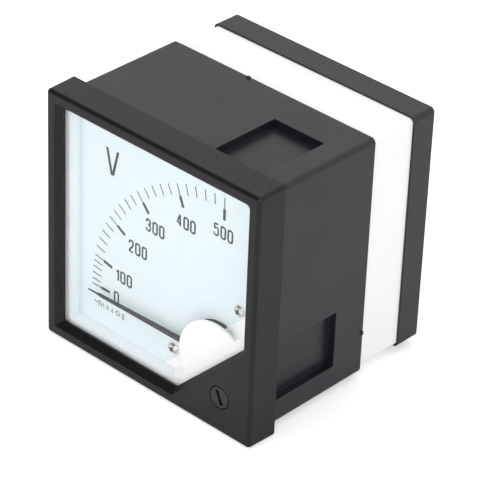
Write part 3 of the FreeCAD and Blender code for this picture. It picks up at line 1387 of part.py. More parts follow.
def add_nubs(body):
    """Two small moulding nubs on the housing's rear rim, on the top and on the right."""
    surface = "body_side / 2"
    top = sketch_on(body, "top_nub", "XZ_Plane", "body_depth - nub_long")
    box_outline(
        top,
        "-top_nub_left - nub_wide / 2",
        "nub_wide / 2 - top_nub_left",
        f"{surface} - nub_high",
        f"{surface} + nub_high",
    )
    pad(body, top, "nub_long")
    side = sketch_on(body, "side_nub", "XZ_Plane", "body_depth - nub_long")
    box_outline(
        side,
        f"{surface} - nub_high",
        f"{surface} + nub_high",
        "-side_nub_low - nub_wide / 2",
        "nub_wide / 2 - side_nub_low",
    )
    pad(body, side, "nub_long")


def build_base():
    """White base behind the housing: floor, wall, corner columns and standoffs."""
    body = new_body("base_frame")
    ring = sketch_on(body, "base_outline", "XZ_Plane", "body_depth")
    square_outline(ring, "base_side / 2")
    shell = pad(body, ring, "base_depth")
    DOC.recompute()
    corners = long_edges(shell.Shape, number("base_side / 2"), 0, number("base_depth"))
    rounded(body, shell, "base_round", corners)
    inside = sketch_on(body, "base_inside", "XZ_Plane", BASE_BACK)
    square_outline(inside, "base_side / 2 - base_wall")
    pocket(body, inside, f"{BASE_BACK} - {FLOOR_BACK}", forward=True)
    plug = sketch_on(body, "base_plug", "XZ_Plane", FLOOR_FRONT)
    square_outline(plug, "body_inside_half - fit_gap")
    pad(body, plug, "base_floor")
    columns = sketch_on(body, "base_columns", "XZ_Plane", FLOOR_FRONT)
    for name, x_sign, z_sign in corner_signs():
        circle(columns, f"{x_sign} * boss_out", f"{z_sign} * boss_out", "base_column")
    pad(body, columns, f"{BASE_BACK} - {FLOOR_FRONT}")
    posts = sketch_on(body, "base_standoffs", "XZ_Plane", FLOOR_FRONT)
    for sign in ("1", "-1"):
        circle(posts, f"{sign} * standoff_at", "0", "standoff_radius")
    pad(body, posts, "base_floor + standoff_high")
    holes = sketch_on(body, "base_screw_holes", "XZ_Plane", FLOOR_FRONT)
    for name, x_sign, z_sign in corner_signs():
        circle(holes, f"{x_sign} * boss_out", f"{z_sign} * boss_out", "case_screw + case_screw_gap")
    pocket(body, holes, f"{BASE_BACK} - {FLOOR_FRONT}")
    through = sketch_on(body, "base_floor_holes", "XZ_Plane", FLOOR_FRONT)
    for name, x, z in dial_screw_places() + [("3", "third_pillar_at", "-third_pillar_at")]:
        circle(through, x, z, "pillar_screw + screw_gap")
    circle(through, "-lead_hole_at", "lead_hole_at", "lead_hole")
    circle(through, "-lead_hole_at", "-lead_hole_at", "lead_hole")
    pocket(body, through, "base_floor")


def build_cover():
    """Black rear cover with counterbored corners and a barrier between the terminals."""
    body = new_body("rear_cover")
    outline = sketch_on(body, "cover_outline", "XZ_Plane", BASE_BACK)
    square_outline(outline, "cover_side / 2")
    shell = pad(body, outline, "cover_depth")
    DOC.recompute()
    corners = long_edges(shell.Shape, number("cover_side / 2"), 0, number("cover_depth"))
    rounded(body, shell, "cover_round", corners)
    lip = sketch_on(body, "cover_lip", "XZ_Plane", BASE_BACK)
    square_outline(lip, "base_side / 2 - base_wall - cover_lip_gap")
    pad(body, lip, "cover_lip_long", forward=True)
    inside = sketch_on(body, "cover_inside", "XZ_Plane", f"{BASE_BACK} - cover_lip_long")
    square_outline(inside, "base_side / 2 - base_wall - cover_lip_gap - cover_lip_wall")
    pocket(body, inside, f"{COVER_INNER} - {BASE_BACK} + cover_lip_long")
    notches = sketch_on(body, "cover_lip_notches", "XZ_Plane", BASE_BACK)
    for name, x_sign, z_sign in corner_signs():
        circle(notches, f"{x_sign} * boss_out", f"{z_sign} * boss_out", "base_column + fit_gap")
    pocket(body, notches, "cover_lip_long", forward=True)
    columns = sketch_on(body, "cover_columns", "XZ_Plane", BASE_BACK)
    for name, x_sign, z_sign in corner_signs():
        circle(columns, f"{x_sign} * boss_out", f"{z_sign} * boss_out", "cover_column")
    pad(body, columns, "cover_depth - cover_back / 2")
    holes = sketch_on(body, "cover_screw_holes", "XZ_Plane", BASE_BACK)
    for name, x_sign, z_sign in corner_signs():
        circle(holes, f"{x_sign} * boss_out", f"{z_sign} * boss_out", "case_screw + case_screw_gap")
    for sign in ("1", "-1"):
        circle(holes, f"{sign} * terminal_at", "0", "stud_radius + nut_gap")
    pocket(body, holes, "cover_depth")
    sinks = sketch_on(body, "cover_counterbores", "XZ_Plane", COVER_BACK)
    for name, x_sign, z_sign in corner_signs():
        circle(sinks, f"{x_sign} * boss_out", f"{z_sign} * boss_out", "case_screw_head + case_screw_gap")
    pocket(body, sinks, "case_screw_sink", forward=True)
    barrier = sketch_on(body, "terminal_barrier", "XZ_Plane", COVER_INNER)
    box_outline(barrier, "-barrier_thick / 2", "barrier_thick / 2", "-barrier_long / 2", "barrier_long / 2")
    pad(body, barrier, "cover_back + barrier_high")


def build_case_screws():
    """Four long screws through the cover and base into the housing."""
    seat = f"{COVER_BACK} - case_screw_sink"
    reach = f"{seat} - {FLOOR_FRONT} + case_screw_reach"
    sizes = ("case_screw", "case_screw_head", "case_screw_high")
    for name, x_sign, z_sign in corner_signs():
        x = f"{x_sign} * boss_out"
        z = f"{z_sign} * boss_out"
        slotted_screw(f"case_screw_{name}", x, z, "0", seat, reach, sizes, facing=-1)


def build_terminals():
    """Terminal studs with a strap under each head, a washer and a nut outside."""
    for name, sign in (("1", "-1"), ("2", "1")):
        x = f"{sign} * terminal_at"
        stud = new_body(f"terminal_stud_{name}", x, "0", "0")
        head_back = f"{COVER_INNER} - strap_thick"
        head = sketch_on(stud, f"stud_head_{name}", "XZ_Plane", f"{head_back} - head_high")
        hexagon(head, "head_flats")
        pad(stud, head, "head_high")
        step = f"{COVER_BACK} + washer_thick + nut_high + stud_past"
        tip = f"{COVER_BACK} + stud_out"
        turned(
            stud,
            f"stud_shank_{name}",
            [
                (head_back, "0"),
                (head_back, "stud_radius"),
                (step, "stud_radius"),
                (f"{step} + stud_radius - stud_end_radius", "stud_end_radius"),
                (f"{tip} - stud_chamfer", "stud_end_radius"),
                (tip, "stud_end_radius - stud_chamfer"),
                (tip, "0"),
            ],
        )
        washer = new_body(f"terminal_washer_{name}", x, "0", "0")
        inner = "stud_radius + nut_gap"
        turned(
            washer,
            f"washer_profile_{name}",
            [
                (COVER_BACK, inner),
                (COVER_BACK, "washer_radius"),
                (f"{COVER_BACK} + washer_thick", "washer_radius"),
                (f"{COVER_BACK} + washer_thick", inner),
            ],
        )
        build_nut(f"terminal_nut_{name}", x, f"{COVER_BACK} + washer_thick")
        build_strap(name, sign)


def build_nut(label, x, start):
    """Hexagon nut with bevelled corners on both faces."""
    nut = new_body(label, x, "0", "0")
    outline = sketch_on(nut, f"{label}_outline", "XZ_Plane", start)
    hexagon(outline, "head_flats")
    circle(outline, "0", "0", "stud_radius + nut_gap")
    pad(nut, outline, "nut_high")
    flat = "head_flats / 2"
    tip = "head_flats / sqrt(3) + 0.1"
    for name, face, into in (("front", start, "+"), ("back", f"{start} + nut_high", "-")):
        outside = "-" if into == "+" else "+"
        grooved(
            nut,
            f"{label}_{name}_bevel",
            [
                (face, flat),
                (f"{face} {into} nut_bevel", tip),
                (f"{face} {outside} 1", tip),
                (f"{face} {outside} 1", flat),
            ],
        )


def build_strap(name, sign):
    """Brass strap from under the stud's head to the resistor board."""
    strap = new_body(f"terminal_strap_{name}", "0", "0", "0", "0" if sign == "1" else "180")
    outer = "strap_reach"
    board_back = f"{FLOOR_BACK} + standoff_high + board_thick"
    profile = sketch_on(strap, f"strap_profile_{name}", "XY_Plane")
    polygon(
        profile,
        [
            ("terminal_at - head_flats / 2", COVER_INNER),
            ("terminal_at - head_flats / 2", f"{COVER_INNER} - strap_thick"),
            (f"{outer} - strap_thick", f"{COVER_INNER} - strap_thick"),
            (f"{outer} - strap_thick", board_back),
            (outer, board_back),
            (outer, COVER_INNER),
        ],
    )
    pad_both(strap, profile, "strap_wide")
    hole = sketch_on(strap, f"strap_hole_{name}", "XZ_Plane", f"{COVER_INNER} - strap_thick")
    circle(hole, "terminal_at", "0", "stud_radius + nut_gap")
    pocket(strap, hole, "strap_thick")


def build_resistor_board():
    """Board on the base's standoffs."""
    body = new_body("resistor_board")
    outline = sketch_on(body, "board_outline", "XZ_Plane", f"{FLOOR_BACK} + standoff_high")
    box_outline(outline, "-board_long / 2", "board_long / 2", "-board_wide / 2", "board_wide / 2")
    pad(body, outline, "board_thick")


def build_resistors():
    """Two wire-wound series resistors with end caps and bent leads."""
    board_back = f"({FLOOR_BACK} + standoff_high + board_thick)"
    axis = f"({board_back} + resistor_lift + resistor_cap)"
    reach = "resistor_long / 2 + resistor_lead_out"
    for name, sign in (("1", "1"), ("2", "-1")):
        level = f"{sign} * resistor_at"
        label = f"series_resistor_{name}"
        pieces = [
            lying_rod(f"{label}_rod", "resistor_radius", "-resistor_long / 2", "resistor_long"),
            lying_rod(f"{label}_cap_a", "resistor_cap", "-resistor_long / 2", "resistor_cap_long"),
            lying_rod(
                f"{label}_cap_b",
                "resistor_cap",
                "resistor_long / 2 - resistor_cap_long",
                "resistor_cap_long",
            ),
            lying_rod(f"{label}_wire", "resistor_lead", f"-({reach})", f"2 * ({reach})"),
            lead_leg(f"{label}_leg_a", f"-({reach})", f"-({axis} - {board_back})"),
            lead_leg(f"{label}_leg_b", reach, f"-({axis} - {board_back})"),
        ]
        whole = DOC.addObject("Part::MultiFuse", label)
        whole.Label = label
        whole.Shapes = pieces
        place(whole, "0", axis, level)
        NODES.append(whole)


def lying_rod(label, radius, start, length):
    """A cylinder along X."""
    rod = DOC.addObject("Part::Cylinder", label)
    bind(rod, "Radius", radius)
    bind(rod, "Height", length)
    rod.Placement = FreeCAD.Placement(
        FreeCAD.Vector(number(start), 0, 0), FreeCAD.Rotation(FreeCAD.Vector(0, 1, 0), 90)
    )
    bind(rod, ".Placement.Base.x", start)
    return rod


def lead_leg(label, x, start):
    """A lead's leg along Y, from the board to the resistor's axis."""
    leg = DOC.addObject("Part::Cylinder", label)
    bind(leg, "Radius", "resistor_lead")
    bind(leg, "Height", f"-({start})")
    leg.Placement = FreeCAD.Placement(
        FreeCAD.Vector(number(x), number(start), 0), FreeCAD.Rotation(FreeCAD.Vector(1, 0, 0), -90)
    )
    bind(leg, ".Placement.Base.x", x)
    bind(leg, ".Placement.Base.y", start)
    return leg


def build_all():
    """Every piece of the meter, from the front to the rear."""
    build_bezel()
    build_window()
    build_surround()
    build_hub_cover()
    build_zero_screw()
    build_zero_ring()
    build_dial()
    build_dial_screws()
    build_pointer()
    build_spindle()
    build_hairspring()
    build_vane()
    build_balance()
    build_moving_iron()
    build_fixed_iron()
    build_bobbin()
    build_winding()
    build_movement_plate()
    build_front_bridge()
    build_rear_bridge()
    build_bridge_screws()
    build_jewel_screws()
    build_zero_lever()
    build_magnet()
    build_posts()
    build_body_case()
    build_base()
    build_cover()
    build_case_screws()
    build_terminals()
    build_resistor_board()
    build_resistors()


def check_and_write():
    """Refuse any failed object or broken solid, then write one file for each piece."""
    DOC.recompute()
    failed = [item.Name for item in DOC.Objects if {"Invalid", "Error"} & set(item.State)]
    if failed:
        raise ValueError(f"failed objects: {failed}")
    for node in NODES:
        shape = node.Shape
        if shape.isNull() or not shape.isValid() or not shape.Solids:
            raise ValueError(f"broken shape: {node.Label}")
        print(f"{node.Label}: {len(shape.Solids)} solid, {shape.Volume:.2f} mm3")
    os.makedirs("parts", exist_ok=True)
    for node in NODES:
        node.Shape.exportStep(f"parts/{node.Label}.step")


fill_sheet()
build_all()
check_and_write()
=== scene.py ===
"""Looks of a square flush-mounting voltmeter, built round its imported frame.

The frame is in metres: +X to the right seen from the front, +Y to the rear, +Z up, with the origin at
the centre of the panel opening in the plane of the bezel's seat. Sizes here are in millimetres where
nothing else is said.
"""

from __future__ import annotations

import json
import logging
import math
from collections.abc import Iterable
from dataclasses import dataclass, field
from enum import Enum
from functools import cache

import bmesh
import bpy
from mathutils import Matrix, Vector

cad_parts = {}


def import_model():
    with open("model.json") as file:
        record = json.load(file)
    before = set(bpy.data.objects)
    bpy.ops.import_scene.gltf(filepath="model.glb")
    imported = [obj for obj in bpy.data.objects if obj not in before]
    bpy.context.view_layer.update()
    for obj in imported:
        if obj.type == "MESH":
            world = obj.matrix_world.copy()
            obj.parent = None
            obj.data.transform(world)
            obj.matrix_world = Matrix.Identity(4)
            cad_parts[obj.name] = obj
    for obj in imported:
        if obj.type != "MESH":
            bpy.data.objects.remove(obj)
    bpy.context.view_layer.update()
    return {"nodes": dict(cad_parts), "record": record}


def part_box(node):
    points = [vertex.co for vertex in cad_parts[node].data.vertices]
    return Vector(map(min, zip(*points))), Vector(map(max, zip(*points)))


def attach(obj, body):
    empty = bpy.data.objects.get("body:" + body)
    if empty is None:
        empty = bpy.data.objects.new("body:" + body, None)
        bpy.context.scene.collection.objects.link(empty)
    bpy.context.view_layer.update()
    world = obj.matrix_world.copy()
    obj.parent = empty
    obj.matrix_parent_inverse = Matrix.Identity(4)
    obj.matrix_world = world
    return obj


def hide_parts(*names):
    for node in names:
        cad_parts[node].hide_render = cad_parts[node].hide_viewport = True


LOG = logging.getLogger("panel_meter")
MM = 0.001
Tree = bpy.types.NodeTree
Node = bpy.types.Node
Socket = bpy.types.NodeSocket
BMesh = bmesh.types.BMesh
Mesh = bpy.types.Mesh
Object = bpy.types.Object
Material = bpy.types.Material
Point = tuple[float, float]
Place = tuple[float, float, float]
Stroke = tuple["Line", tuple[Point, ...]]


class Carrier(Enum):
    """Bodies of the frame that added pieces ride on."""

    CASE = "case"


class Line(Enum):
    """Kinds of printed stroke."""

    STRAIGHT = "straight"
    CURVED = "curved"
    CLOSED = "closed"


def linear(code: str) -> tuple[float, float, float, float]:
    """Turn an sRGB hex colour into linear values.

    Args:
        code: Six hex digits, with or without a leading hash sign.

    Returns:
        Red, green, blue and a full alpha.
    """
    digits = code.lstrip("#")
    parts = [int(digits[k : k + 2], 16) / 255 for k in (0, 2, 4)]
    values = [p / 12.92 if p <= 0.04045 else ((p + 0.055) / 1.055) ** 2.4 for p in parts]
    return values[0], values[1], values[2], 1.0


def per_mm(size: float) -> float:
    """Scale of a pattern whose feature is this many millimetres wide, on metre coordinates."""
    return 1.0 / (size * MM)


def new_material(name: str) -> Material:
    """Make a material with an empty node tree.

    Args:
        name: Its name.

    Returns:
        The material.
    """
    material = bpy.data.materials.new(name)
    material.use_nodes = True
    material.node_tree.nodes.clear()
    return material


def add_node(tree: Tree, kind: str, settings: dict | None = None, links: dict | None = None) -> Node:
    """Add a node with its settings and links.

    Args:
        tree: The material's or world's tree.
        kind: The node's type, without the prefix that all have.
        settings: Values for its sockets, by name or number, or for its own properties.
        links: Source sockets for its inputs, by name or number.

    Returns:
        The new node.
    """
    node = tree.nodes.new("ShaderNode" + kind)
    for key, value in (settings or {}).items():
        if isinstance(key, int) or key in node.inputs:
            node.inputs[key].default_value = value
        else:
            setattr(node, key, value)
    for key, source in (links or {}).items():
        tree.links.new(source, node.inputs[key])
    return node


def add_noise(
    tree: Tree, where: Socket, size: float, detail: float = 2.0, roughness: float = 0.5
) -> Socket:
    """Add noise whose features are this many millimetres wide, at coordinates in metres."""
    settings = {"Scale": per_mm(size), "Detail": detail, "Roughness": roughness}
    return add_node(tree, "TexNoise", settings, {"Vector": where}).outputs["Fac"]


def add_range(tree: Tree, value: Socket, source: Point, target: Point) -> Socket:
    """Map values from one range, its start and end, onto another."""
    limits = dict(zip(("From Min", "From Max", "To Min", "To Max"), source + target))
    return add_node(tree, "MapRange", limits, {"Value": value}).outputs["Result"]


def add_mix(tree: Tree, share: Socket, first: str | Socket, second: str) -> Socket:
    """Mix two colours.

    Args:
        tree: The tree.
        share: Share of the second colour.
        first: sRGB hex, or a colour's socket.
        second: sRGB hex.

    Returns:
        The mixed colour's socket.
    """
    settings = {"data_type": "RGBA", 7: linear(second)}
    links = {0: share}
    if isinstance(first, str):
        settings[6] = linear(first)
    else:
        links[6] = first
    return add_node(tree, "Mix", settings, links).outputs[2]


@dataclass(frozen=True)
class Finish:
    """A material with a mottled colour, fine grain, softened edges and an uneven gloss.

    Attributes:
        name: The real material and how its surface was made.
        colour: Main colour, sRGB hex.
        shade: Second colour of the mottling, sRGB hex.
        roughness: Middle roughness.
        uneven: How far the roughness swings either way.
        metallic: 1 for metals.
        specular: Specular level of a plastic or paint.
        mottle_mm: Size of the mottling.
        grain_mm: Size of the surface grain.
        grain_depth: Strength of the grain's bump.
        stretch: Scale of the grain along X, Y and Z, for brushed or drawn metal.
        edge_mm: Radius that edges seem to have.
        milky: Share of the light that goes into the plastic and comes out again.
        milky_mm: How far it travels inside.
    """

    name: str
    colour: str
    shade: str
    roughness: float = 0.45
    uneven: float = 0.06
    metallic: float = 0.0
    specular: float = 0.5
    mottle_mm: float = 14.0
    grain_mm: float = 0.4
    grain_depth: float = 0.12
    stretch: Place = (1.0, 1.0, 1.0)
    edge_mm: float = 0.12
    milky: float = 0.0
    milky_mm: float = 1.0

    def build(self) -> Material:
        """Make the node tree.

        Returns:
            The finished material.
        """
        material = new_material(self.name)
        tree = material.node_tree
        place = add_node(tree, "TexCoord")
        mapping = add_node(
            tree, "Mapping", {"Scale": self.stretch}, {"Vector": place.outputs["Object"]}
        )
        mottle = add_noise(tree, place.outputs["Object"], self.mottle_mm, detail=4.0, roughness=0.6)
        grain = add_noise(tree, mapping.outputs["Vector"], self.grain_mm, detail=3.0, roughness=0.65)
        swing = (self.roughness - self.uneven, self.roughness + self.uneven)
        edge = add_node(tree, "Bevel", {"samples": 6, "Radius": self.edge_mm * MM})
        bump = add_node(
            tree,
            "Bump",
            {"Strength": self.grain_depth, "Distance": self.grain_mm * MM * 0.2},
            {"Height": self.height_socket(tree, place, grain), "Normal": edge.outputs["Normal"]},
        )
        shader = add_node(
            tree,
            "BsdfPrincipled",
            {
                "Metallic": self.metallic,
                "Specular IOR Level": self.specular,
                "Subsurface Weight": self.milky,
                "Subsurface Radius": (1.0, 1.0, 1.1),
                "Subsurface Scale": self.milky_mm * MM,
            },
            {
                "Base Color": self.colour_socket(tree, place, mottle),
                "Roughness": add_range(tree, mottle, (0.0, 1.0), swing),
                "Normal": bump.outputs["Normal"],
            },
        )
        add_node(tree, "OutputMaterial", {}, {"Surface": shader.outputs["BSDF"]})
        return material

    def colour_socket(self, tree: Tree, place: Node, mottle: Socket) -> Socket:
        """Mix the two colours by the mottling.

        Args:
            tree: The material's tree.
            place: Texture coordinates.
            mottle: The large noise.

        Returns:
            The colour's socket.
        """
        blend = add_range(tree, mottle, (0.3, 0.7), (0.0, 1.0))
        return add_mix(tree, blend, self.colour, self.shade)

    def height_socket(self, tree: Tree, place: Node, grain: Socket) -> Socket:
        """The bump's height: the grain alone."""
        return grain


@dataclass(frozen=True)
class DustedPlastic(Finish):
    """Black moulding with a few pale specks of dust.

    Attributes:
        speck_mm: Spacing of the specks.
        speck: Their colour, sRGB hex.
        speck_size: Radii of a speck's core and rim, as shares of the spacing.
        speck_cover: How well the core covers the plastic.
    """

    speck_mm: float = 3.2
    speck: str = "#5b5c60"
    speck_size: Point = (0.022, 0.04)
    speck_cover: float = 0.7

    def colour_socket(self, tree: Tree, place: Node, mottle: Socket) -> Socket:
        """Add the specks to the mottled colour.

        Args:
            tree: The material's tree.
            place: Texture coordinates.
            mottle: The large noise.

        Returns:
            The colour's socket.
        """
        base = super().colour_socket(tree, place, mottle)
        cells = add_node(
            tree,
            "TexVoronoi",
            {"Scale": per_mm(self.speck_mm), "Randomness": 1.0},
            {"Vector": place.outputs["Object"]},
        )
        near = add_range(tree, cells.outputs["Distance"], self.speck_size, (self.speck_cover, 0.0))
        return add_mix(tree, near, base, self.speck)


@dataclass(frozen=True)
class FunnelPlastic(DustedPlastic):
    """Bezel moulding whose funnel face beside the corner plate has most of its gloss taken off:
    painted shade that makes that face read dark.

    Attributes:
        matt_side: Direction that the darkened face looks in.
        matt_cone: Cosines between which the painted shade sets in.
        matt_share: Share of the specular level that the darkened face keeps.
    """

    matt_side: Place = (-0.68, -0.26, 0.68)
    matt_cone: Point = (0.8, 0.9)
    matt_share: float = 0.25

    def build(self) -> Material:
        """Make the node tree, then take the gloss off the face that looks along matt_side: painted
        shade.

        Returns:
            The finished material.
        """
        material = super().build()
        tree = material.node_tree
        place = add_node(tree, "TexCoord")
        along = add_node(
            tree,
            "VectorMath",
            {"operation": "DOT_PRODUCT", 1: self.matt_side},
            {0: place.outputs["Normal"]},
        )
        levels = (self.specular, self.specular * self.matt_share)
        level = add_range(tree, along.outputs["Value"], self.matt_cone, levels)
        shader = next(node for node in tree.nodes if node.type == "BSDF_PRINCIPLED")
        tree.links.new(level, shader.inputs["Specular IOR Level"])
        return material


@dataclass(frozen=True)
class WoundWire(Finish):
    """Enamelled wire laid turn by turn.

    Attributes:
        wire_mm: Spacing of the turns along the coil.
        node_turn: Angle that the wave node runs through in one unit at a scale of one.
    """

    wire_mm: float = 0.36
    node_turn: float = 20.0

    def height_socket(self, tree: Tree, place: Node, grain: Socket) -> Socket:
        """Turns of wire across the coil's axis.

        Args:
            tree: The material's tree.
            place: Texture coordinates.
            grain: The fine noise, which the turns stand in for.

        Returns:
            The height's socket.
        """
        turns = add_node(
            tree,
            "TexWave",
            {
                "bands_direction": "Y",
                "Scale": 2 * math.pi / (self.node_turn * self.wire_mm * MM),
                "Distortion": 0.6,
                "Detail": 1.0,
                "Detail Scale": 1.5,
            },
            {"Vector": place.outputs["Object"]},
        )
        return turns.outputs["Fac"]


@dataclass(frozen=True)
class ClearPane:
    """Thin clear pane: straight sight through it, with a polished surface over it.

    Attributes:
        name: The real material and how its surface was made.
        tint: What it takes from the light, sRGB hex.
        head_on: Share of the light that one surface throws back when seen straight on.
        rise: Power by which that share rises towards a grazing view.
        roughness: Roughness of the gloss.
        ripple_mm: Size of the faint ripple that moulding leaves.
        ripple_depth: Depth of the ripple.
    """

    name: str
    tint: str
    head_on: float = 0.039
    rise: float = 5.0
    roughness: float = 0.02
    ripple_mm: float = 30.0
    ripple_depth: float = 0.2

    def build(self) -> Material:
        """Make the node tree.

        Returns:
            The finished material.
        """
        material = new_material(self.name)
        tree = material.node_tree
        place = add_node(tree, "TexCoord")
        bump = add_node(
            tree,
            "Bump",
            {"Strength": 0.02, "Distance": self.ripple_depth * MM},
            {"Height": add_noise(tree, place.outputs["Object"], self.ripple_mm, detail=1.0)},
        )
        slope = add_node(tree, "LayerWeight", {"Blend": 0.5}, {"Normal": bump.outputs["Normal"]})
        steep = add_node(
            tree, "Math", {"operation": "POWER", 1: self.rise}, {0: slope.outputs["Facing"]}
        )
        edge = add_range(tree, steep.outputs["Value"], (0.0, 1.0), (self.head_on, 1.0))
        sight = add_node(tree, "BsdfTransparent", {"Color": linear(self.tint)})
        gloss = add_node(
            tree,
            "BsdfGlossy",
            {"Color": (1, 1, 1, 1), "Roughness": self.roughness},
            {"Normal": bump.outputs["Normal"]},
        )
        pane = add_node(
            tree, "MixShader", {}, {0: edge, 1: sight.outputs["BSDF"], 2: gloss.outputs["BSDF"]}
        )
        add_node(tree, "OutputMaterial", {}, {"Surface": pane.outputs["Shader"]})
        return material


class Shop(Enum):
    """Every finish of the meter. One that the record names stands under its slot's name."""

    # ABS, injection moulded black: deep colour, satin skin, dust that catches the light
    # The bezel's funnel face beside the corner plate loses its gloss through FunnelPlastic: painted
    # shade
    bezel_plastic = FunnelPlastic(
        "black_abs_bezel", "#151518", "#101013", 0.34, 0.05, specular=0.32, edge_mm=0.3
    )
    case_plastic = DustedPlastic(
        "black_abs_housing", "#1f1f25", "#18181e", 0.36, 0.06, specular=0.46, edge_mm=0.25
    )
    # ABS, natural white: faintly uneven gloss
    white_plastic = Finish("white_abs", "#fcfbfa", "#f8f7f6", 0.38, 0.05, mottle_mm=22.0, edge_mm=0.3)
    # Polystyrene, injection moulded thin: a cool white that lets light through
    milky_plastic = Finish(
        "milky_polystyrene", "#f9fbff", "#f5f9ff", 0.4, 0.05,
        mottle_mm=20.0, edge_mm=0.2, milky=0.3, milky_mm=1.2,
    )
    # Acrylic pane: clear, polished, seen straight through
    clear_window = ClearPane("clear_acrylic", "#fdfefe")
    # Stoved enamel on sheet metal: pale, cool, nearly matt
    dial_paint = Finish(
        "dial_enamel", "#e7f1f5", "#e3eef3", 0.55, 0.04, specular=0.3, mottle_mm=18.0, grain_depth=0.04
    )
    # Sheet aluminium under matt black lacquer
    black_aluminium = Finish(
        "black_lacquer", "#141416", "#101012", 0.5, 0.05, specular=0.35, grain_mm=0.25, edge_mm=0.08
    )
    # Nylon, moulded black
    screw_plastic = DustedPlastic(
        "black_nylon_screw", "#19191c", "#141417", 0.34, 0.05, specular=0.45, speck_mm=1.6, edge_mm=0.2
    )
    # Steel, zinc plated and passivated: bluish grey with a spangle
    steel = Finish(
        "zinc_plated_steel", "#b9bcc0", "#a6a9ae", 0.32, 0.08, 1.0, mottle_mm=1.6, grain_mm=0.15
    )
    # Steel, nickel plated bright: warm, smooth
    bright_steel = Finish(
        "bright_nickel_screw", "#f2ece8", "#d8cfc8", 0.22, 0.06, 1.0,
        mottle_mm=0.9, grain_mm=0.12, edge_mm=0.06,
    )
    # Driver recess: painted shade, a dark dull metal that stands for the shade deep in the cross
    driver_recess = Finish(
        "painted_recess_shade", "#4f4540", "#352e2b", 0.5, 0.06, 0.6, mottle_mm=0.5, grain_mm=0.1, edge_mm=0.03
    )
    # Annealed soft iron: dull, dark
    soft_iron = Finish(
        "annealed_iron", "#7d7e80", "#6a6a6d", 0.5, 0.1, 1.0, mottle_mm=2.4, grain_mm=0.2
    )
    # Rolled phosphor bronze strip, grain along its length
    spring_bronze = Finish(
        "phosphor_bronze", "#c99459", "#b98047", 0.3, 0.06, 1.0,
        mottle_mm=3.0, grain_mm=0.12, stretch=(1.0, 1.0, 6.0), edge_mm=0.05,
    )
    # Sheet aluminium as rolled, grain along its length
    aluminium = Finish(
        "rolled_aluminium", "#d2d4d6", "#c4c6c9", 0.34, 0.06, 1.0,
        mottle_mm=3.0, grain_mm=0.16, stretch=(0.3, 1.0, 3.0), edge_mm=0.06,
    )
    # Brass turned from bar: fine rings, edges left crisp
    brass = Finish(
        "turned_brass", "#d8c390", "#c6b07c", 0.28, 0.08, 1.0,
        mottle_mm=2.6, grain_mm=0.14, stretch=(1.0, 5.0, 1.0), edge_mm=0.1,
    )
    # Nylon, moulded without colour
    bobbin_plastic = Finish("natural_nylon", "#cfc6ac", "#c4ba9d", 0.45, 0.06, mottle_mm=5.0)
    # Copper wire under red-brown enamel
    copper = WoundWire(
        "enamelled_wire", "#a5532c", "#8f4322", 0.3, 0.06, 1.0, grain_mm=1.6, grain_depth=0.9
    )
    # Cast magnet alloy: dark grey, pitted
    magnet = Finish(
        "cast_magnet", "#56575a", "#434447", 0.6, 0.08, 1.0,
        mottle_mm=1.8, grain_mm=0.5, grain_depth=0.5,
    )
    # Phenolic paper laminate: brown, with fibres
    board = Finish(
        "phenolic_board", "#8a5f34", "#77502a", 0.42, 0.06,
        mottle_mm=4.0, grain_mm=0.3, stretch=(0.25, 1.0, 2.0), grain_depth=0.2,
    )
    # Cement-coated ceramic rod
    resistor_ceramic = Finish(
        "coated_ceramic", "#5f7f6a", "#527060", 0.5, 0.08,
        mottle_mm=1.5, grain_mm=0.3, grain_depth=0.35,
    )
    # Screen ink: black, matt, a little broken at its edges
    ink = Finish(
        "screen_ink", "#2e2d31", "#39383c", 0.6, 0.04, specular=0.25, mottle_mm=0.8, edge_mm=0.0
    )


@cache
def finish_of(slot: str) -> Material:
    """The material of one slot, made when it is first asked for."""
    return Shop[slot].value.build()


def dress(piece: Object, slot: str) -> None:
    """Give a piece a single material."""
    piece.data.materials.clear()
    piece.data.materials.append(finish_of(slot))


def dress_frame(frame: dict) -> None:
    """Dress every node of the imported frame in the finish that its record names.
    """
    for entry in frame["record"]["subparts"]:
        dress(frame["nodes"][entry["node"]], entry["material_slot"])


def place_object(name: str, data: bpy.types.ID) -> Object:
    """Make an object and link it to the scene.

    Args:
        name: Its name.
        data: Its mesh, curve, lamp or camera.

    Returns:
        The object.
    """
    item = bpy.data.objects.new(name, data)
    bpy.context.scene.collection.objects.link(item)
    return item


def finished(name: str, mesh: Mesh, slot: str, carrier: Carrier = Carrier.CASE) -> Object:
    """Link a finished mesh, dress it where it is bare, and let it ride.

    Args:
        name: The piece's name.
        mesh: Its mesh, in the frame's place.
        slot: The finish's slot.
        carrier: The body it rides on.

    Returns:
        The piece.
    """
    piece = place_object(name, mesh)
    if not mesh.materials:
        dress(piece, slot)
    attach(piece, carrier.value)
    LOG.info("%s: %d faces on %s", name, len(mesh.polygons), carrier.value)
    return piece


def mesh_from(bm: BMesh, name: str) -> Mesh:
    """Turn a bmesh into a flat-shaded mesh and free it.

    Args:
        bm: The bmesh, in metres in the frame's place.
        name: The mesh's name.

    Returns:
        The mesh.
    """
    for face in bm.faces:
        face.smooth = False
    mesh = bpy.data.meshes.new(name)
    bm.to_mesh(mesh)
    bm.free()
    return mesh


def evaluated_mesh(item: Object) -> Mesh:
    """Apply an object's modifiers, or a curve's bevel.

    Args:
        item: The object, linked to the scene.

    Returns:
        The mesh that results.
    """
    bpy.context.view_layer.update()
    graph = bpy.context.evaluated_depsgraph_get()
    return bpy.data.meshes.new_from_object(item.evaluated_get(graph))


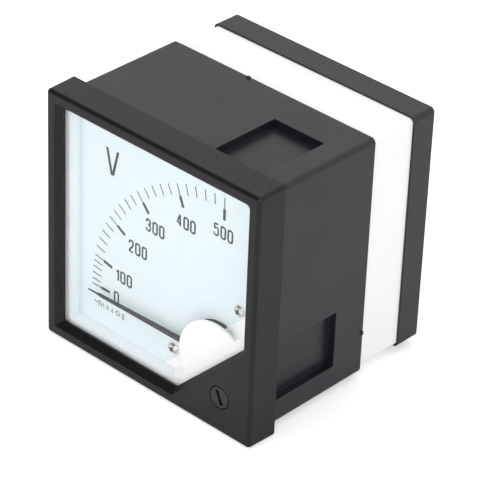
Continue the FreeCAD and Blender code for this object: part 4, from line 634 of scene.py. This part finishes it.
@dataclass
class View:
    """Camera at the photograph's place, found from the meter's own edges.

    Attributes:
        azimuth: Degrees to the right of straight ahead.
        elevation: Degrees above the level.
        roll: Degrees.
        place: Camera position.
        focal_pixels: Focal length in pixels of the frame.
        frame_pixels: Width of the frame in pixels.
        sensor: Width of the sensor.
        clip: Nearest and farthest distance shown, in metres.
    """

    azimuth: float = 41.994
    elevation: float = 32.563
    roll: float = 2.446
    place: Place = (446.351, -464.466, 413.902)
    focal_pixels: float = 2798.889
    frame_pixels: int = 500
    sensor: float = 36.0
    clip: Point = (0.05, 20.0)

    def build(self) -> None:
        """Create the camera and make it the scene's."""
        az, el, roll = (math.radians(v) for v in (self.azimuth, self.elevation, self.roll))
        back = Vector((math.sin(az) * math.cos(el), -math.cos(az) * math.cos(el), math.sin(el)))
        right = Vector((0, 0, 1)).cross(back).normalized()
        up = back.cross(right)
        turned_right = math.cos(roll) * right + math.sin(roll) * up
        turned_up = math.cos(roll) * up - math.sin(roll) * right
        data = bpy.data.cameras.new("camera")
        data.sensor_width = self.sensor
        data.lens = self.focal_pixels * self.sensor / self.frame_pixels
        data.clip_start, data.clip_end = self.clip
        camera = place_object("camera", data)
        matrix = Matrix((turned_right, turned_up, back)).transposed().to_4x4()
        matrix.translation = Vector(self.place) * MM
        camera.matrix_world = matrix
        bpy.context.scene.camera = camera
        LOG.info("camera at %s mm", self.place)


@dataclass(frozen=True)
class Softbox:
    """Square soft lamp that points at the meter.

    Attributes:
        name: Its name.
        place: Position in metres.
        side: Its side in metres.
        watts: Power.
        mirrored: Whether glossy surfaces show it.
    """

    name: str
    place: Place
    side: float
    watts: float
    mirrored: bool = True

    def build(self, tone: str) -> None:
        """Hang the lamp.

        Args:
            tone: Its colour, sRGB hex.
        """
        data = bpy.data.lights.new(self.name, "AREA")
        data.shape = "SQUARE"
        data.size = self.side
        data.energy = self.watts
        data.color = linear(tone)[:3]
        lamp = place_object(self.name, data)
        lamp.location = self.place
        lamp.visible_glossy = self.mirrored
        lamp.rotation_euler = (-Vector(self.place)).to_track_quat("-Z", "Y").to_euler()


@dataclass
class Studio:
    """Pale floor, soft lamps and a white surround.

    Attributes:
        floor_level: Height of the floor.
        floor_half: Half the floor's side.
        floor_tones: The floor's two colours, sRGB hex.
        floor_patch: Size of their patches.
        floor_lift: Light that the floor gives to the camera alone.
        daylight: Colour of the surround's light on matt surfaces, sRGB hex.
        open_side: Direction in which the white surround is open and reflects dark.
        open_cone: Cosines between which it darkens towards that side.
        open_level: How much light gloss finds there.
        lamp_tone: Colour of the lamps, a little warmer than the daylight round them.
        lamps: The lamps.
    """

    floor_level: float = -40.0
    floor_half: float = 4000.0
    floor_tones: tuple[str, str] = ("#f6f6f6", "#f4f4f4")
    floor_patch: float = 60.0
    floor_lift: float = 0.42
    daylight: str = "#dbdfe7"
    open_side: Place = (-0.43, -0.47, 0.77)
    open_cone: Point = (0.55, 0.85)
    open_level: float = 0.05
    lamp_tone: str = "#fff6e8"
    lamps: tuple[Softbox, ...] = (
        Softbox("overhead_softbox", (-0.2, 0.1, 1.5), 1.3, 5.0),
        Softbox("front_softbox", (-0.7, -1.5, 0.75), 1.0, 10.0, mirrored=False),
        Softbox("side_softbox", (1.25, -0.95, 0.55), 1.3, 9.5),
    )

    def build(self) -> None:
        """Make the floor, the world and the lamps."""
        self.floor()
        self.world()
        for lamp in self.lamps:
            lamp.build(self.lamp_tone)

    def floor(self) -> None:
        """Wide pale floor that keeps the meter's shadow."""
        bm = bmesh.new()
        bmesh.ops.create_grid(bm, x_segments=1, y_segments=1, size=self.floor_half * MM)
        bmesh.ops.translate(bm, vec=(0, 0, self.floor_level * MM), verts=bm.verts)
        piece = place_object("floor", mesh_from(bm, "floor"))
        material = new_material("pale_floor")
        tree = material.node_tree
        rays = add_node(tree, "LightPath")
        place = add_node(tree, "TexCoord")
        patches = add_noise(tree, place.outputs["Object"], self.floor_patch)
        tint = add_mix(tree, patches, *self.floor_tones)
        cloth = add_node(tree, "BsdfDiffuse", {}, {"Color": tint})
        lift = add_range(tree, rays.outputs["Is Camera Ray"], (0.0, 1.0), (0.0, self.floor_lift))
        glow = add_node(tree, "Emission", {"Color": (1, 1, 1, 1)}, {"Strength": lift})
        both = add_node(tree, "AddShader", {}, {0: cloth.outputs["BSDF"], 1: glow.outputs["Emission"]})
        add_node(tree, "OutputMaterial", {}, {"Surface": both.outputs["Shader"]})
        piece.data.materials.append(material)

    def world(self) -> None:
        """White to the eye, to metal and to glass, and a softer, cooler light."""
        world = bpy.data.worlds.new("studio")
        world.use_nodes = True
        tree = world.node_tree
        tree.nodes.clear()
        rays = add_node(tree, "LightPath")
        white = rays.outputs["Is Camera Ray"]
        for ray in ("Is Glossy Ray", "Is Transmission Ray"):
            either = add_node(tree, "Math", {"operation": "MAXIMUM"}, {0: white, 1: rays.outputs[ray]})
            white = either.outputs["Value"]
        toward = add_node(tree, "TexCoord")
        along = add_node(
            tree,
            "VectorMath",
            {"operation": "DOT_PRODUCT", 1: self.open_side},
            {0: toward.outputs["Generated"]},
        )
        dark = add_range(tree, along.outputs["Value"], self.open_cone, (1.0, self.open_level))
        level = add_node(
            tree, "Mix", {"data_type": "FLOAT", 2: 1.0}, {0: rays.outputs["Is Glossy Ray"], 3: dark}
        )
        sky = add_node(
            tree,
            "Background",
            {},
            {"Color": add_mix(tree, white, self.daylight, "#ffffff"), "Strength": level.outputs[0]},
        )
        add_node(tree, "OutputWorld", {}, {"Surface": sky.outputs["Background"]})
        bpy.context.scene.world = world


# Digits and the unit's letter in a box one wide and two high, drawn as centre lines
GLYPHS: dict[str, tuple[Stroke, ...]] = {
    "0": ((Line.CLOSED, ((0, 0.7), (0, 0), (1, 0), (1, 0.7), (1, 1.3), (1, 2), (0, 2), (0, 1.3))),),
    "1": ((Line.STRAIGHT, ((0.1, 1.5), (0.55, 2))), (Line.STRAIGHT, ((0.55, 2), (0.55, 0)))),
    "2": (
        (Line.CURVED, ((0, 1.45), (0, 2), (1, 2), (1, 1.15), (0.35, 0.6), (0, 0))),
        (Line.STRAIGHT, ((0, 0), (1, 0))),
    ),
    "3": (
        (Line.CURVED, ((0, 1.55), (0, 2), (0.95, 2), (0.95, 1.08), (0.4, 1.08))),
        (Line.CURVED, ((0.4, 1.08), (1, 1.08), (1, 0), (0, 0), (0, 0.5))),
    ),
    "4": (
        (Line.STRAIGHT, ((0.66, 2.05), (0.0, 0.55))),
        (Line.STRAIGHT, ((0.0, 0.55), (1.0, 0.55))),
        (Line.STRAIGHT, ((0.72, 2.0), (0.72, 0.0))),
    ),
    "5": (
        (Line.STRAIGHT, ((0.95, 2.0), (0.08, 2.0))),
        (Line.STRAIGHT, ((0.1, 2.0), (0.05, 1.1))),
        (Line.CURVED, ((0.05, 1.1), (0.3, 1.34), (1, 1.34), (1, 0), (0, 0), (0, 0.45))),
    ),
    "V": ((Line.STRAIGHT, ((0, 2), (0.46, 0))), (Line.STRAIGHT, ((0.54, 0), (1, 2)))),
}


def oval(wide: float, high: float, turns: range) -> tuple[Point, ...]:
    """Points round an ellipse of this half width and height, at these degrees above the level."""
    angles = [math.radians(turn) for turn in turns]
    return tuple((wide * math.cos(angle), high * math.sin(angle)) for angle in angles)


def ring(wide: float, high: float, rise: float) -> Stroke:
    """Closed stroke inside a box of this half width and height, its middle raised by this much."""
    low, top = rise - high, rise + high
    return Line.CLOSED, ((-wide, low), (wide, low), (wide, top), (-wide, top))


def star(tip: float, notch: float) -> tuple[Stroke, ...]:
    """Outline of a five-pointed star.

    Args:
        tip: Radius of its tips.
        notch: Radius of its notches.

    Returns:
        A straight stroke for each side.
    """
    pairs = zip(oval(tip, tip, range(90, 450, 72)), oval(notch, notch, range(126, 486, 72)))
    corners = [corner for pair in pairs for corner in pair]
    return tuple((Line.STRAIGHT, side) for side in zip(corners, corners[1:] + corners[:1]))


# Small signs of the dial: centre, stroke width, and centre lines round that centre
SIGNS: dict[str, tuple[Point, float, tuple[Stroke, ...]]] = {
    "alternating current": (
        (-27.4, -27.0),
        0.27,
        ((Line.CURVED, ((-0.5, -0.05), (-0.25, 0.35), (0, 0), (0.25, -0.35), (0.5, 0.05))),),
    ),
    "moving iron": (
        (-25.8, -27.1),
        0.27,
        (
            (Line.CURVED, oval(0.68, 0.78, range(-60, 241, 30))),
            (Line.STRAIGHT, ((-0.34, -0.72), (-0.72, -0.98))),
            (Line.STRAIGHT, ((0.34, -0.72), (0.72, -0.98))),
            (Line.STRAIGHT, ((0, -0.32), (0, 0.32))),
        ),
    ),
    "mark in the class": ((-23.75, -27.6), 0.28, ((Line.STRAIGHT, ((0, 0), (0.25, 0))),)),
    "upright mounting": (
        (-20.85, -27.05),
        0.27,
        ((Line.STRAIGHT, ((-0.5, -0.6), (0.5, -0.6))), (Line.STRAIGHT, ((0, -0.6), (0, 0.55)))),
    ),
    "test voltage": ((-18.55, -27.1), 0.2, star(1.03, 0.45)),
    "last sign": ((-16.45, -27.3), 0.22, (ring(0.38, 0.42, -0.45), ring(0.38, 0.42, 0.45))),
}


@dataclass(frozen=True)
class InkLayer:
    """Where the ink lies on the dial.

    Attributes:
        face: Y of the dial's face.
        thick: Thickness of the ink.
        sink: How far it sinks into the enamel.
    """

    face: float = -2.5
    thick: float = 0.03
    sink: float = 0.004

    def middle(self) -> float:
        """Y of the ink's middle."""
        return self.face - self.thick / 2 + self.sink


@dataclass
class InkLines:
    """Printed strokes on the dial, drawn as centre lines of a given width.

    Attributes:
        layer: Where the ink lies.
        strokes: Kind, points and width of every stroke so far.
    """

    layer: InkLayer = InkLayer()
    strokes: list[tuple[Line, list[Point], float]] = field(default_factory=list)

    def add(
        self, kind: Line, points: Iterable[Point], width: float, centre: Point = (0.0, 0.0)
    ) -> None:
        """Add one stroke in the dial's plane.

        Args:
            kind: Straight, curved or closed.
            points: X and Z.
            width: Stroke width.
            centre: Where the points are counted from.
        """
        placed = [(centre[0] + x, centre[1] + z) for x, z in points]
        self.strokes.append((kind, placed, width))

    def glyph(self, sign: str, corner: Point, size: Point, width: float) -> None:
        """Add one digit or letter.

        Args:
            sign: A key of the glyphs.
            corner: Lower left corner of its ink.
            size: Width and height over the ink.
            width: Stroke width.
        """
        across = size[0] - width
        high = size[1] - width
        start = (corner[0] + width / 2, corner[1] + width / 2)
        for kind, points in GLYPHS[sign]:
            self.add(kind, [(x * across, z * high / 2) for x, z in points], width, start)

    def tube(self, name: str, kind: Line, points: list[Point], width: float) -> Mesh:
        """Draw one stroke as a tube as thick as the stroke is wide.

        Args:
            name: The mesh's name.
            kind: Straight, curved or closed.
            points: X and Z.
            width: Stroke width.

        Returns:
            The tube's mesh, round Y = 0.
        """
        curve = bpy.data.curves.new(name, "CURVE")
        curve.dimensions = "3D"
        curve.bevel_depth = width / 2 * MM
        curve.bevel_resolution = 1
        curve.resolution_u = 5
        curve.use_fill_caps = True
        spline = curve.splines.new("POLY" if kind is Line.STRAIGHT else "NURBS")
        spline.points.add(len(points) - 1)
        for spot, (x, z) in zip(spline.points, points):
            spot.co = (x * MM, 0.0, z * MM, 1.0)
        if kind is not Line.STRAIGHT:
            spline.order_u = 3
            spline.use_cyclic_u = kind is Line.CLOSED
            spline.use_endpoint_u = kind is Line.CURVED
        holder = place_object(name, curve)
        tube = evaluated_mesh(holder)
        bpy.data.objects.remove(holder)
        bpy.data.curves.remove(curve)
        return tube

    def mesh(self, name: str) -> Mesh:
        """Press every stroke's tube flat onto the dial.

        Args:
            name: The mesh's name.

        Returns:
            One mesh with all the strokes.
        """
        joined = bmesh.new()
        move = Matrix.Translation((0, self.layer.middle() * MM, 0))
        for kind, points, width in self.strokes:
            tube = self.tube(name, kind, points, width)
            tube.transform(move @ Matrix.Diagonal((1, self.layer.thick / width, 1, 1)))
            joined.from_mesh(tube)
            bpy.data.meshes.remove(tube)
        return mesh_from(joined, name)


@dataclass
class DialScale:
    """Lines of the scale.

    Attributes:
        layer: Where the ink lies.
        pivot: X and Z of the pointer's axis.
        outer: Radius of the lines' outer ends.
        inner: Inner radius of the fine lines.
        bold_inner: Inner radius of the main lines' bold part.
        neck: Length of the fine stretch that joins a main line's two parts.
        overlap: How far it runs into the bold part.
        fine: Width of the fine lines.
        bold: Width of the main lines' bold part.
        main_every: Every how many lines a main one stands.
    """

    layer: InkLayer = InkLayer()
    pivot: Point = (21.3, -21.3)
    outer: float = 50.1
    inner: float = 46.8
    bold_inner: float = 43.1
    neck: float = 0.25
    overlap: float = 0.05
    fine: float = 0.33
    bold: float = 0.98
    main_every: int = 5

    def angles(self) -> list[float]:
        """Degrees above the level for every line, from zero: a moving iron's uneven scale.

        Returns:
            One angle for each 20 volts.
        """
        low = [-0.3, 1.8, 4.2, 6.7, 9.0, 11.3]
        middle = [11.3 + 3.7 * k for k in range(1, 8)]
        high = [41.1, 44.9, 48.8, 52.8, 56.8, 60.8, 64.8, 68.9, 72.9, 77.0, 81.2, 85.3, 89.5]
        return low + middle + high

    def bar(self, bm: BMesh, angle: float, first: float, last: float, width: float) -> None:
        """One printed line along a radius.

        Args:
            bm: Where it goes.
            angle: Degrees above the level.
            first: Inner radius.
            last: Outer radius.
            width: Width of the line.
        """
        turn = math.radians(angle)
        radius = (first + last) / 2
        x = self.pivot[0] - radius * math.cos(turn)
        z = self.pivot[1] + radius * math.sin(turn)
        size = Matrix.Diagonal(((last - first) * MM, self.layer.thick * MM, width * MM, 1))
        move = Matrix.Translation((x * MM, self.layer.middle() * MM, z * MM))
        bmesh.ops.create_cube(bm, size=1.0, matrix=move @ Matrix.Rotation(turn, 4, "Y") @ size)

    def build(self) -> None:
        """Fine and main lines as one piece."""
        bm = bmesh.new()
        bold_end = self.inner - self.neck
        for k, angle in enumerate(self.angles()):
            self.bar(bm, angle, self.inner, self.outer, self.fine)
            if k % self.main_every == 0:
                self.bar(bm, angle, self.bold_inner, bold_end, self.bold)
                self.bar(bm, angle, bold_end - self.overlap, self.inner, self.fine)
        finished("scale_lines", mesh_from(bm, "scale_lines"), "ink")


@dataclass
class DialWords:
    """Numbers at the main lines and the unit's letter.

    Attributes:
        places: Each number and its centre.
        digit: Width and height of a digit.
        one: Width that a 1 takes up.
        gap: Gap between digits.
        stroke: Stroke width of the digits.
        unit_corner: Lower left corner of the unit's letter.
        unit_size: Its width and height.
        unit_stroke: Its stroke width.
    """

    places: tuple[tuple[str, Point], ...] = (
        ("0", (-19.2, -22.0)),
        ("100", (-16.4, -14.3)),
        ("200", (-11.1, -2.3)),
        ("300", (-4.6, 7.5)),
        ("400", (7.0, 14.4)),
        ("500", (20.7, 17.7)),
    )
    digit: Point = (2.15, 4.2)
    one: float = 1.45
    gap: float = 0.42
    stroke: float = 0.64
    unit_corner: Point = (-24.0, 16.6)
    unit_size: Point = (5.3, 9.25)
    unit_stroke: float = 1.04

    def build(self) -> None:
        """The numbers as one piece and the letter as another."""
        numbers = InkLines()
        for text, (x, z) in self.places:
            widths = [self.one if sign == "1" else self.digit[0] for sign in text]
            left = x - (sum(widths) + self.gap * (len(text) - 1)) / 2
            for sign, width in zip(text, widths):
                numbers.glyph(sign, (left, z - self.digit[1] / 2), self.digit, self.stroke)
                left += width + self.gap
        finished("scale_numerals", numbers.mesh("scale_numerals"), "ink")
        letter = InkLines()
        letter.glyph("V", self.unit_corner, self.unit_size, self.unit_stroke)
        finished("unit_letter", letter.mesh("unit_letter"), "ink")


@dataclass
class DialSigns:
    """Small signs in a row under the pointer.

    Attributes:
        digits: Digits of the accuracy class, their lower left corners and their sizes.
        stroke: Stroke width of the digits.
    """

    digits: tuple[tuple[str, Point, Point], ...] = (
        ("1", (-24.75, -27.75), (0.75, 1.4)),
        ("5", (-23.1, -27.9), (0.85, 1.5)),
    )
    stroke: float = 0.27

    def build(self) -> None:
        """All the signs as one piece."""
        lines = InkLines()
        for centre, width, strokes in SIGNS.values():
            for kind, points in strokes:
                lines.add(kind, points, width, centre)
        for digit, corner, size in self.digits:
            lines.glyph(digit, corner, size, self.stroke)
        finished("dial_signs", lines.mesh("dial_signs"), "ink")


@dataclass
class SightCorners:
    """Rounded webs in the square corners of the sight, moulded with the bezel's lip.

    Attributes:
        half: Half the sight's opening.
        radius: Radius of a rounded corner.
        front: Y of the webs' front, at the foot of the funnel.
        rear: Y of their rear, just ahead of the window.
        overlap: How far they run into the lip.
        steps: Faces round a corner.
    """

    half: float = 34.85
    radius: float = 1.2
    front: float = -8.15
    rear: float = -7.82
    overlap: float = 0.1
    steps: int = 8

    def build(self) -> None:
        """All three webs as one piece."""
        bm = bmesh.new()
        for side, rise in ((-1, 1), (1, 1), (-1, -1)):
            self.web(bm, side, rise)
        bmesh.ops.recalc_face_normals(bm, faces=bm.faces)
        finished("sight_corners", mesh_from(bm, "sight_corners"), "bezel_plastic")

    def web(self, bm: BMesh, side: int, rise: int) -> None:
        """One web.

        Args:
            bm: Where it goes.
            side: 1 on the right, -1 on the left.
            rise: 1 at the top, -1 at the bottom.
        """
        level = self.front * MM
        inner = (self.half - self.radius) * MM
        outer = (self.half + self.overlap) * MM
        first = bm.verts.new((side * self.half * MM, level, rise * inner))
        before = set(bm.verts)
        bmesh.ops.spin(
            bm,
            geom=[first],
            cent=(side * inner, level, rise * inner),
            axis=(0, 1, 0),
            angle=-side * rise * math.pi / 2,
            steps=self.steps,
            use_merge=False,
        )
        bm.verts.index_update()
        arc = sorted((v for v in bm.verts if v not in before), key=lambda v: v.index)
        rest = [
            bm.verts.new((side * x, level, rise * z))
            for x, z in ((inner, outer), (outer, outer), (outer, inner))
        ]
        face = bm.faces.new([first] + arc + rest)
        back = bmesh.ops.extrude_face_region(bm, geom=[face])["geom"]
        moved = [v for v in back if isinstance(v, bmesh.types.BMVert)]
        bmesh.ops.translate(bm, vec=(0, (self.rear - self.front) * MM, 0), verts=moved)


@dataclass
class CrossScrew:
    """Pan-head screw with a driver's cross, standing for its plainer frame node.

    Attributes:
        high: Height of the head.
        dome: Height of its domed part.
        rings: Rings of faces on the dome.
        shank: Radius of the shank.
        reach: Half length of the cross's bars at their mouth.
        bar: Half width of the bars at their mouth.
        deep: Depth of the cross.
        taper: Shares of the mouth's length and width at the bars' deep end.
        turn: Degrees that the cross is turned.
        sides: Faces round the screw.
        trim: Share of the node's head radius that the rounded head keeps.
        weld: Distance within which the spun outline's points are joined.
    """

    high: float = 1.1
    dome: float = 0.92
    rings: int = 6
    shank: float = 0.94
    reach: float = 1.3
    bar: float = 0.36
    deep: float = 0.8
    taper: Point = (0.45, 0.6)
    turn: float = 24.0
    sides: int = 40
    trim: float = 0.9
    weld: float = 0.001

    def build(self, node: str) -> None:
        """Make one screw in place of a node.

        Args:
            node: The frame node that it stands for.
        """
        low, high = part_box(node)
        top = low.y / MM
        head = self.trim * (high.x - low.x) / 2 / MM
        # The cross's faces take driver_recess, the painted shade of the recess
        finishes = [finish_of("bright_steel"), finish_of("driver_recess")]
        body = self.holder(self.spun(head, top, high.y / MM), f"{node}_body", finishes, 0)
        cutters = [
            self.holder(self.cutter(top, self.turn + quarter), f"{node}_cutter", finishes, 1)
            for quarter in (0.0, 90.0)
        ]
        for cutter in cutters:
            cut = body.modifiers.new("cross", "BOOLEAN")
            cut.operation = "DIFFERENCE"
            cut.solver = "EXACT"
            cut.object = cutter
        mesh = evaluated_mesh(body)
        for temporary in [body] + cutters:
            bpy.data.objects.remove(temporary)
        mesh.transform(Matrix.Translation(((low.x + high.x) / 2, 0, (low.z + high.z) / 2)))
        piece = finished(f"cross_{node}", mesh, "bright_steel")
        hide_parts(node)

    def spun(self, head: float, top: float, end: float) -> BMesh:
        """The screw without its cross, spun round Y.

        Args:
            head: Radius of the head.
            top: Y of the head's top.
            end: Y of the shank's end.

        Returns:
            The screw, in metres.
        """
        turns = [math.pi / 2 * k / self.rings for k in range(self.rings + 1)]
        outline = [(head * math.sin(t), top + self.dome * (1 - math.cos(t))) for t in turns]
        under = top + self.high
        outline += [(head, under), (self.shank, under), (self.shank, end), (0.0, end)]
        bm = bmesh.new()
        rim = [bm.verts.new((radius * MM, y * MM, 0)) for radius, y in outline]
        edges = [bm.edges.new(pair) for pair in zip(rim, rim[1:])]
        bmesh.ops.spin(
            bm,
            geom=rim + edges,
            cent=(0, 0, 0),
            axis=(0, 1, 0),
            angle=2 * math.pi,
            steps=self.sides,
            use_merge=True,
        )
        bmesh.ops.remove_doubles(bm, verts=bm.verts, dist=self.weld * MM)
        bmesh.ops.recalc_face_normals(bm, faces=bm.faces)
        return bm

    def cutter(self, top: float, turn: float) -> BMesh:
        """One tapered bar of the cross.

        Args:
            top: Y of the head's top.
            turn: Degrees about the screw's axis.

        Returns:
            The bar, in metres.
        """
        bm = bmesh.new()
        bmesh.ops.create_cube(bm, size=1.0)
        size = (2 * self.reach * MM, 2 * self.deep * MM, 2 * self.bar * MM)
        bmesh.ops.scale(bm, vec=size, verts=bm.verts)
        deepest = [v for v in bm.verts if v.co.y > 0]
        bmesh.ops.scale(bm, vec=(self.taper[0], 1.0, self.taper[1]), verts=deepest)
        bmesh.ops.translate(bm, vec=(0, top * MM, 0), verts=bm.verts)
        spin = Matrix.Rotation(math.radians(turn), 3, "Y")
        bmesh.ops.rotate(bm, cent=(0, 0, 0), matrix=spin, verts=bm.verts)
        return bm

    def holder(self, bm: BMesh, name: str, finishes: list[Material], chosen: int) -> Object:
        """Put a bmesh in a temporary object.

        Args:
            bm: The bmesh.
            name: The object's name.
            finishes: Its materials.
            chosen: The one that its faces take.

        Returns:
            The object.
        """
        for face in bm.faces:
            face.material_index = chosen
        mesh = mesh_from(bm, name)
        for finish in finishes:
            mesh.materials.append(finish)
        return place_object(name, mesh)


@dataclass(frozen=True)
class Thread:
    """One rolled thread.

    Attributes:
        crest: Radius over the thread.
        root: Radius at its foot.
        pitch: Distance between turns.
        bury: How far the ridge's foot lies under the root.
        flat: Where the crest's flat starts and ends, as shares of the pitch.
    """

    crest: float
    root: float
    pitch: float
    bury: float = 0.05
    flat: Point = (0.4, 0.6)


@dataclass
class ThreadedStud:
    """Terminal stud with rolled threads, standing for its plain frame node.

    Attributes:
        thick: Thread under the nut.
        thin: Thread of the free end, which takes the lead.
        free_end: Length of the free end with its step.
        head: Thickness of the six-sided head.
        head_round: Round of the head's edges.
        tip: Length of the bevelled tip.
        tip_in: How far the tip draws in.
        sides: Faces round the stud.
    """

    thick: Thread = Thread(2.49, 2.08, 0.8)
    thin: Thread = Thread(1.99, 1.63, 0.7)
    free_end: float = 9.6
    head: float = 3.0
    head_round: float = 0.25
    tip: float = 0.5
    tip_in: float = 0.25
    sides: int = 24

    def build(self, node: str) -> None:
        """Make one stud in place of a node.

        Args:
            node: The frame node that it stands for.
        """
        low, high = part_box(node)
        start, end = low.y / MM, high.y / MM
        neck = start + self.head
        step = end - self.free_end
        bevel = end - self.tip
        thick, thin = self.thick.root, self.thin.root
        thin_start = step + thick - thin
        bm = bmesh.new()
        across = (high.z - low.z) / 2 / MM
        self.cylinder(bm, (across, across), (start, neck), sides=6, turn=30.0)
        bmesh.ops.bevel(
            bm,
            geom=list(bm.edges),
            offset=self.head_round * MM,
            offset_type="OFFSET",
            segments=2,
            profile=0.5,
            affect="EDGES",
            material=-1,
        )
        self.cylinder(bm, (thick, thick), (neck, step), self.sides)
        self.cylinder(bm, (thick, thin), (step, thin_start), self.sides)
        self.cylinder(bm, (thin, thin), (thin_start, bevel), self.sides)
        self.cylinder(bm, (thin, thin - self.tip_in), (bevel, end), self.sides)
        self.ridge(bm, self.thick, neck, step)
        self.ridge(bm, self.thin, thin_start, bevel)
        bmesh.ops.recalc_face_normals(bm, faces=bm.faces)
        bmesh.ops.translate(bm, vec=((low.x + high.x) / 2, 0, (low.z + high.z) / 2), verts=bm.verts)
        piece = finished(f"threaded_{node}", mesh_from(bm, node), "brass")
        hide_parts(node)

    def cylinder(self, bm: BMesh, radii: Point, ends: Point, sides: int, turn: float = 0.0) -> None:
        """A closed cylinder or cone along Y.

        Args:
            bm: Where it goes.
            radii: Radius at its start and end.
            ends: Y of its start and end.
            sides: Faces round it.
            turn: Degrees that it is turned about Y.
        """
        lay = Matrix.Rotation(math.radians(-90), 4, "X")
        spin = Matrix.Rotation(math.radians(turn), 4, "Y")
        move = Matrix.Translation((0, (ends[0] + ends[1]) / 2 * MM, 0))
        bmesh.ops.create_cone(
            bm,
            cap_ends=True,
            segments=sides,
            radius1=radii[0] * MM,
            radius2=radii[1] * MM,
            depth=(ends[1] - ends[0]) * MM,
            matrix=move @ spin @ lay,
        )

    def ridge(self, bm: BMesh, thread: Thread, start: float, end: float) -> None:
        """Spin a thread's ridge along the stud.

        Args:
            bm: Where it goes.
            thread: The thread.
            start: Y where it starts.
            end: Y where it ends.
        """
        turns = int((end - start) / thread.pitch) - 1
        foot = thread.root - thread.bury
        outline = zip((0.0, *thread.flat, 1.0), (foot, thread.crest, thread.crest, foot))
        profile = [
            bm.verts.new((0, (start + share * thread.pitch) * MM, radius * MM))
            for share, radius in outline
        ]
        edges = [bm.edges.new(pair) for pair in zip(profile, profile[1:])]
        bmesh.ops.spin(
            bm,
            geom=profile + edges,
            cent=(0, 0, 0),
            axis=(0, 1, 0),
            dvec=(0, thread.pitch / self.sides * MM, 0),
            angle=2 * math.pi * turns,
            steps=self.sides * turns,
            use_merge=False,
        )


def main() -> None:
    """Load the frame, then build and dress the meter in order."""
    logging.basicConfig(level=logging.INFO, format="%(name)s: %(message)s")
    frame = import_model()
    bpy.context.scene.view_settings.view_transform = "Standard"
    View().build()
    Studio().build()
    dress_frame(frame)
    dress(frame["nodes"]["dial_surround"], "milky_plastic")
    for part in (SightCorners(), DialScale(), DialWords(), DialSigns()):
        part.build()
    for node in ("dial_screw_1", "dial_screw_2"):
        CrossScrew().build(node)
    for node in ("terminal_stud_1", "terminal_stud_2"):
        ThreadedStud().build(node)


if __name__ == "__main__":
    main()
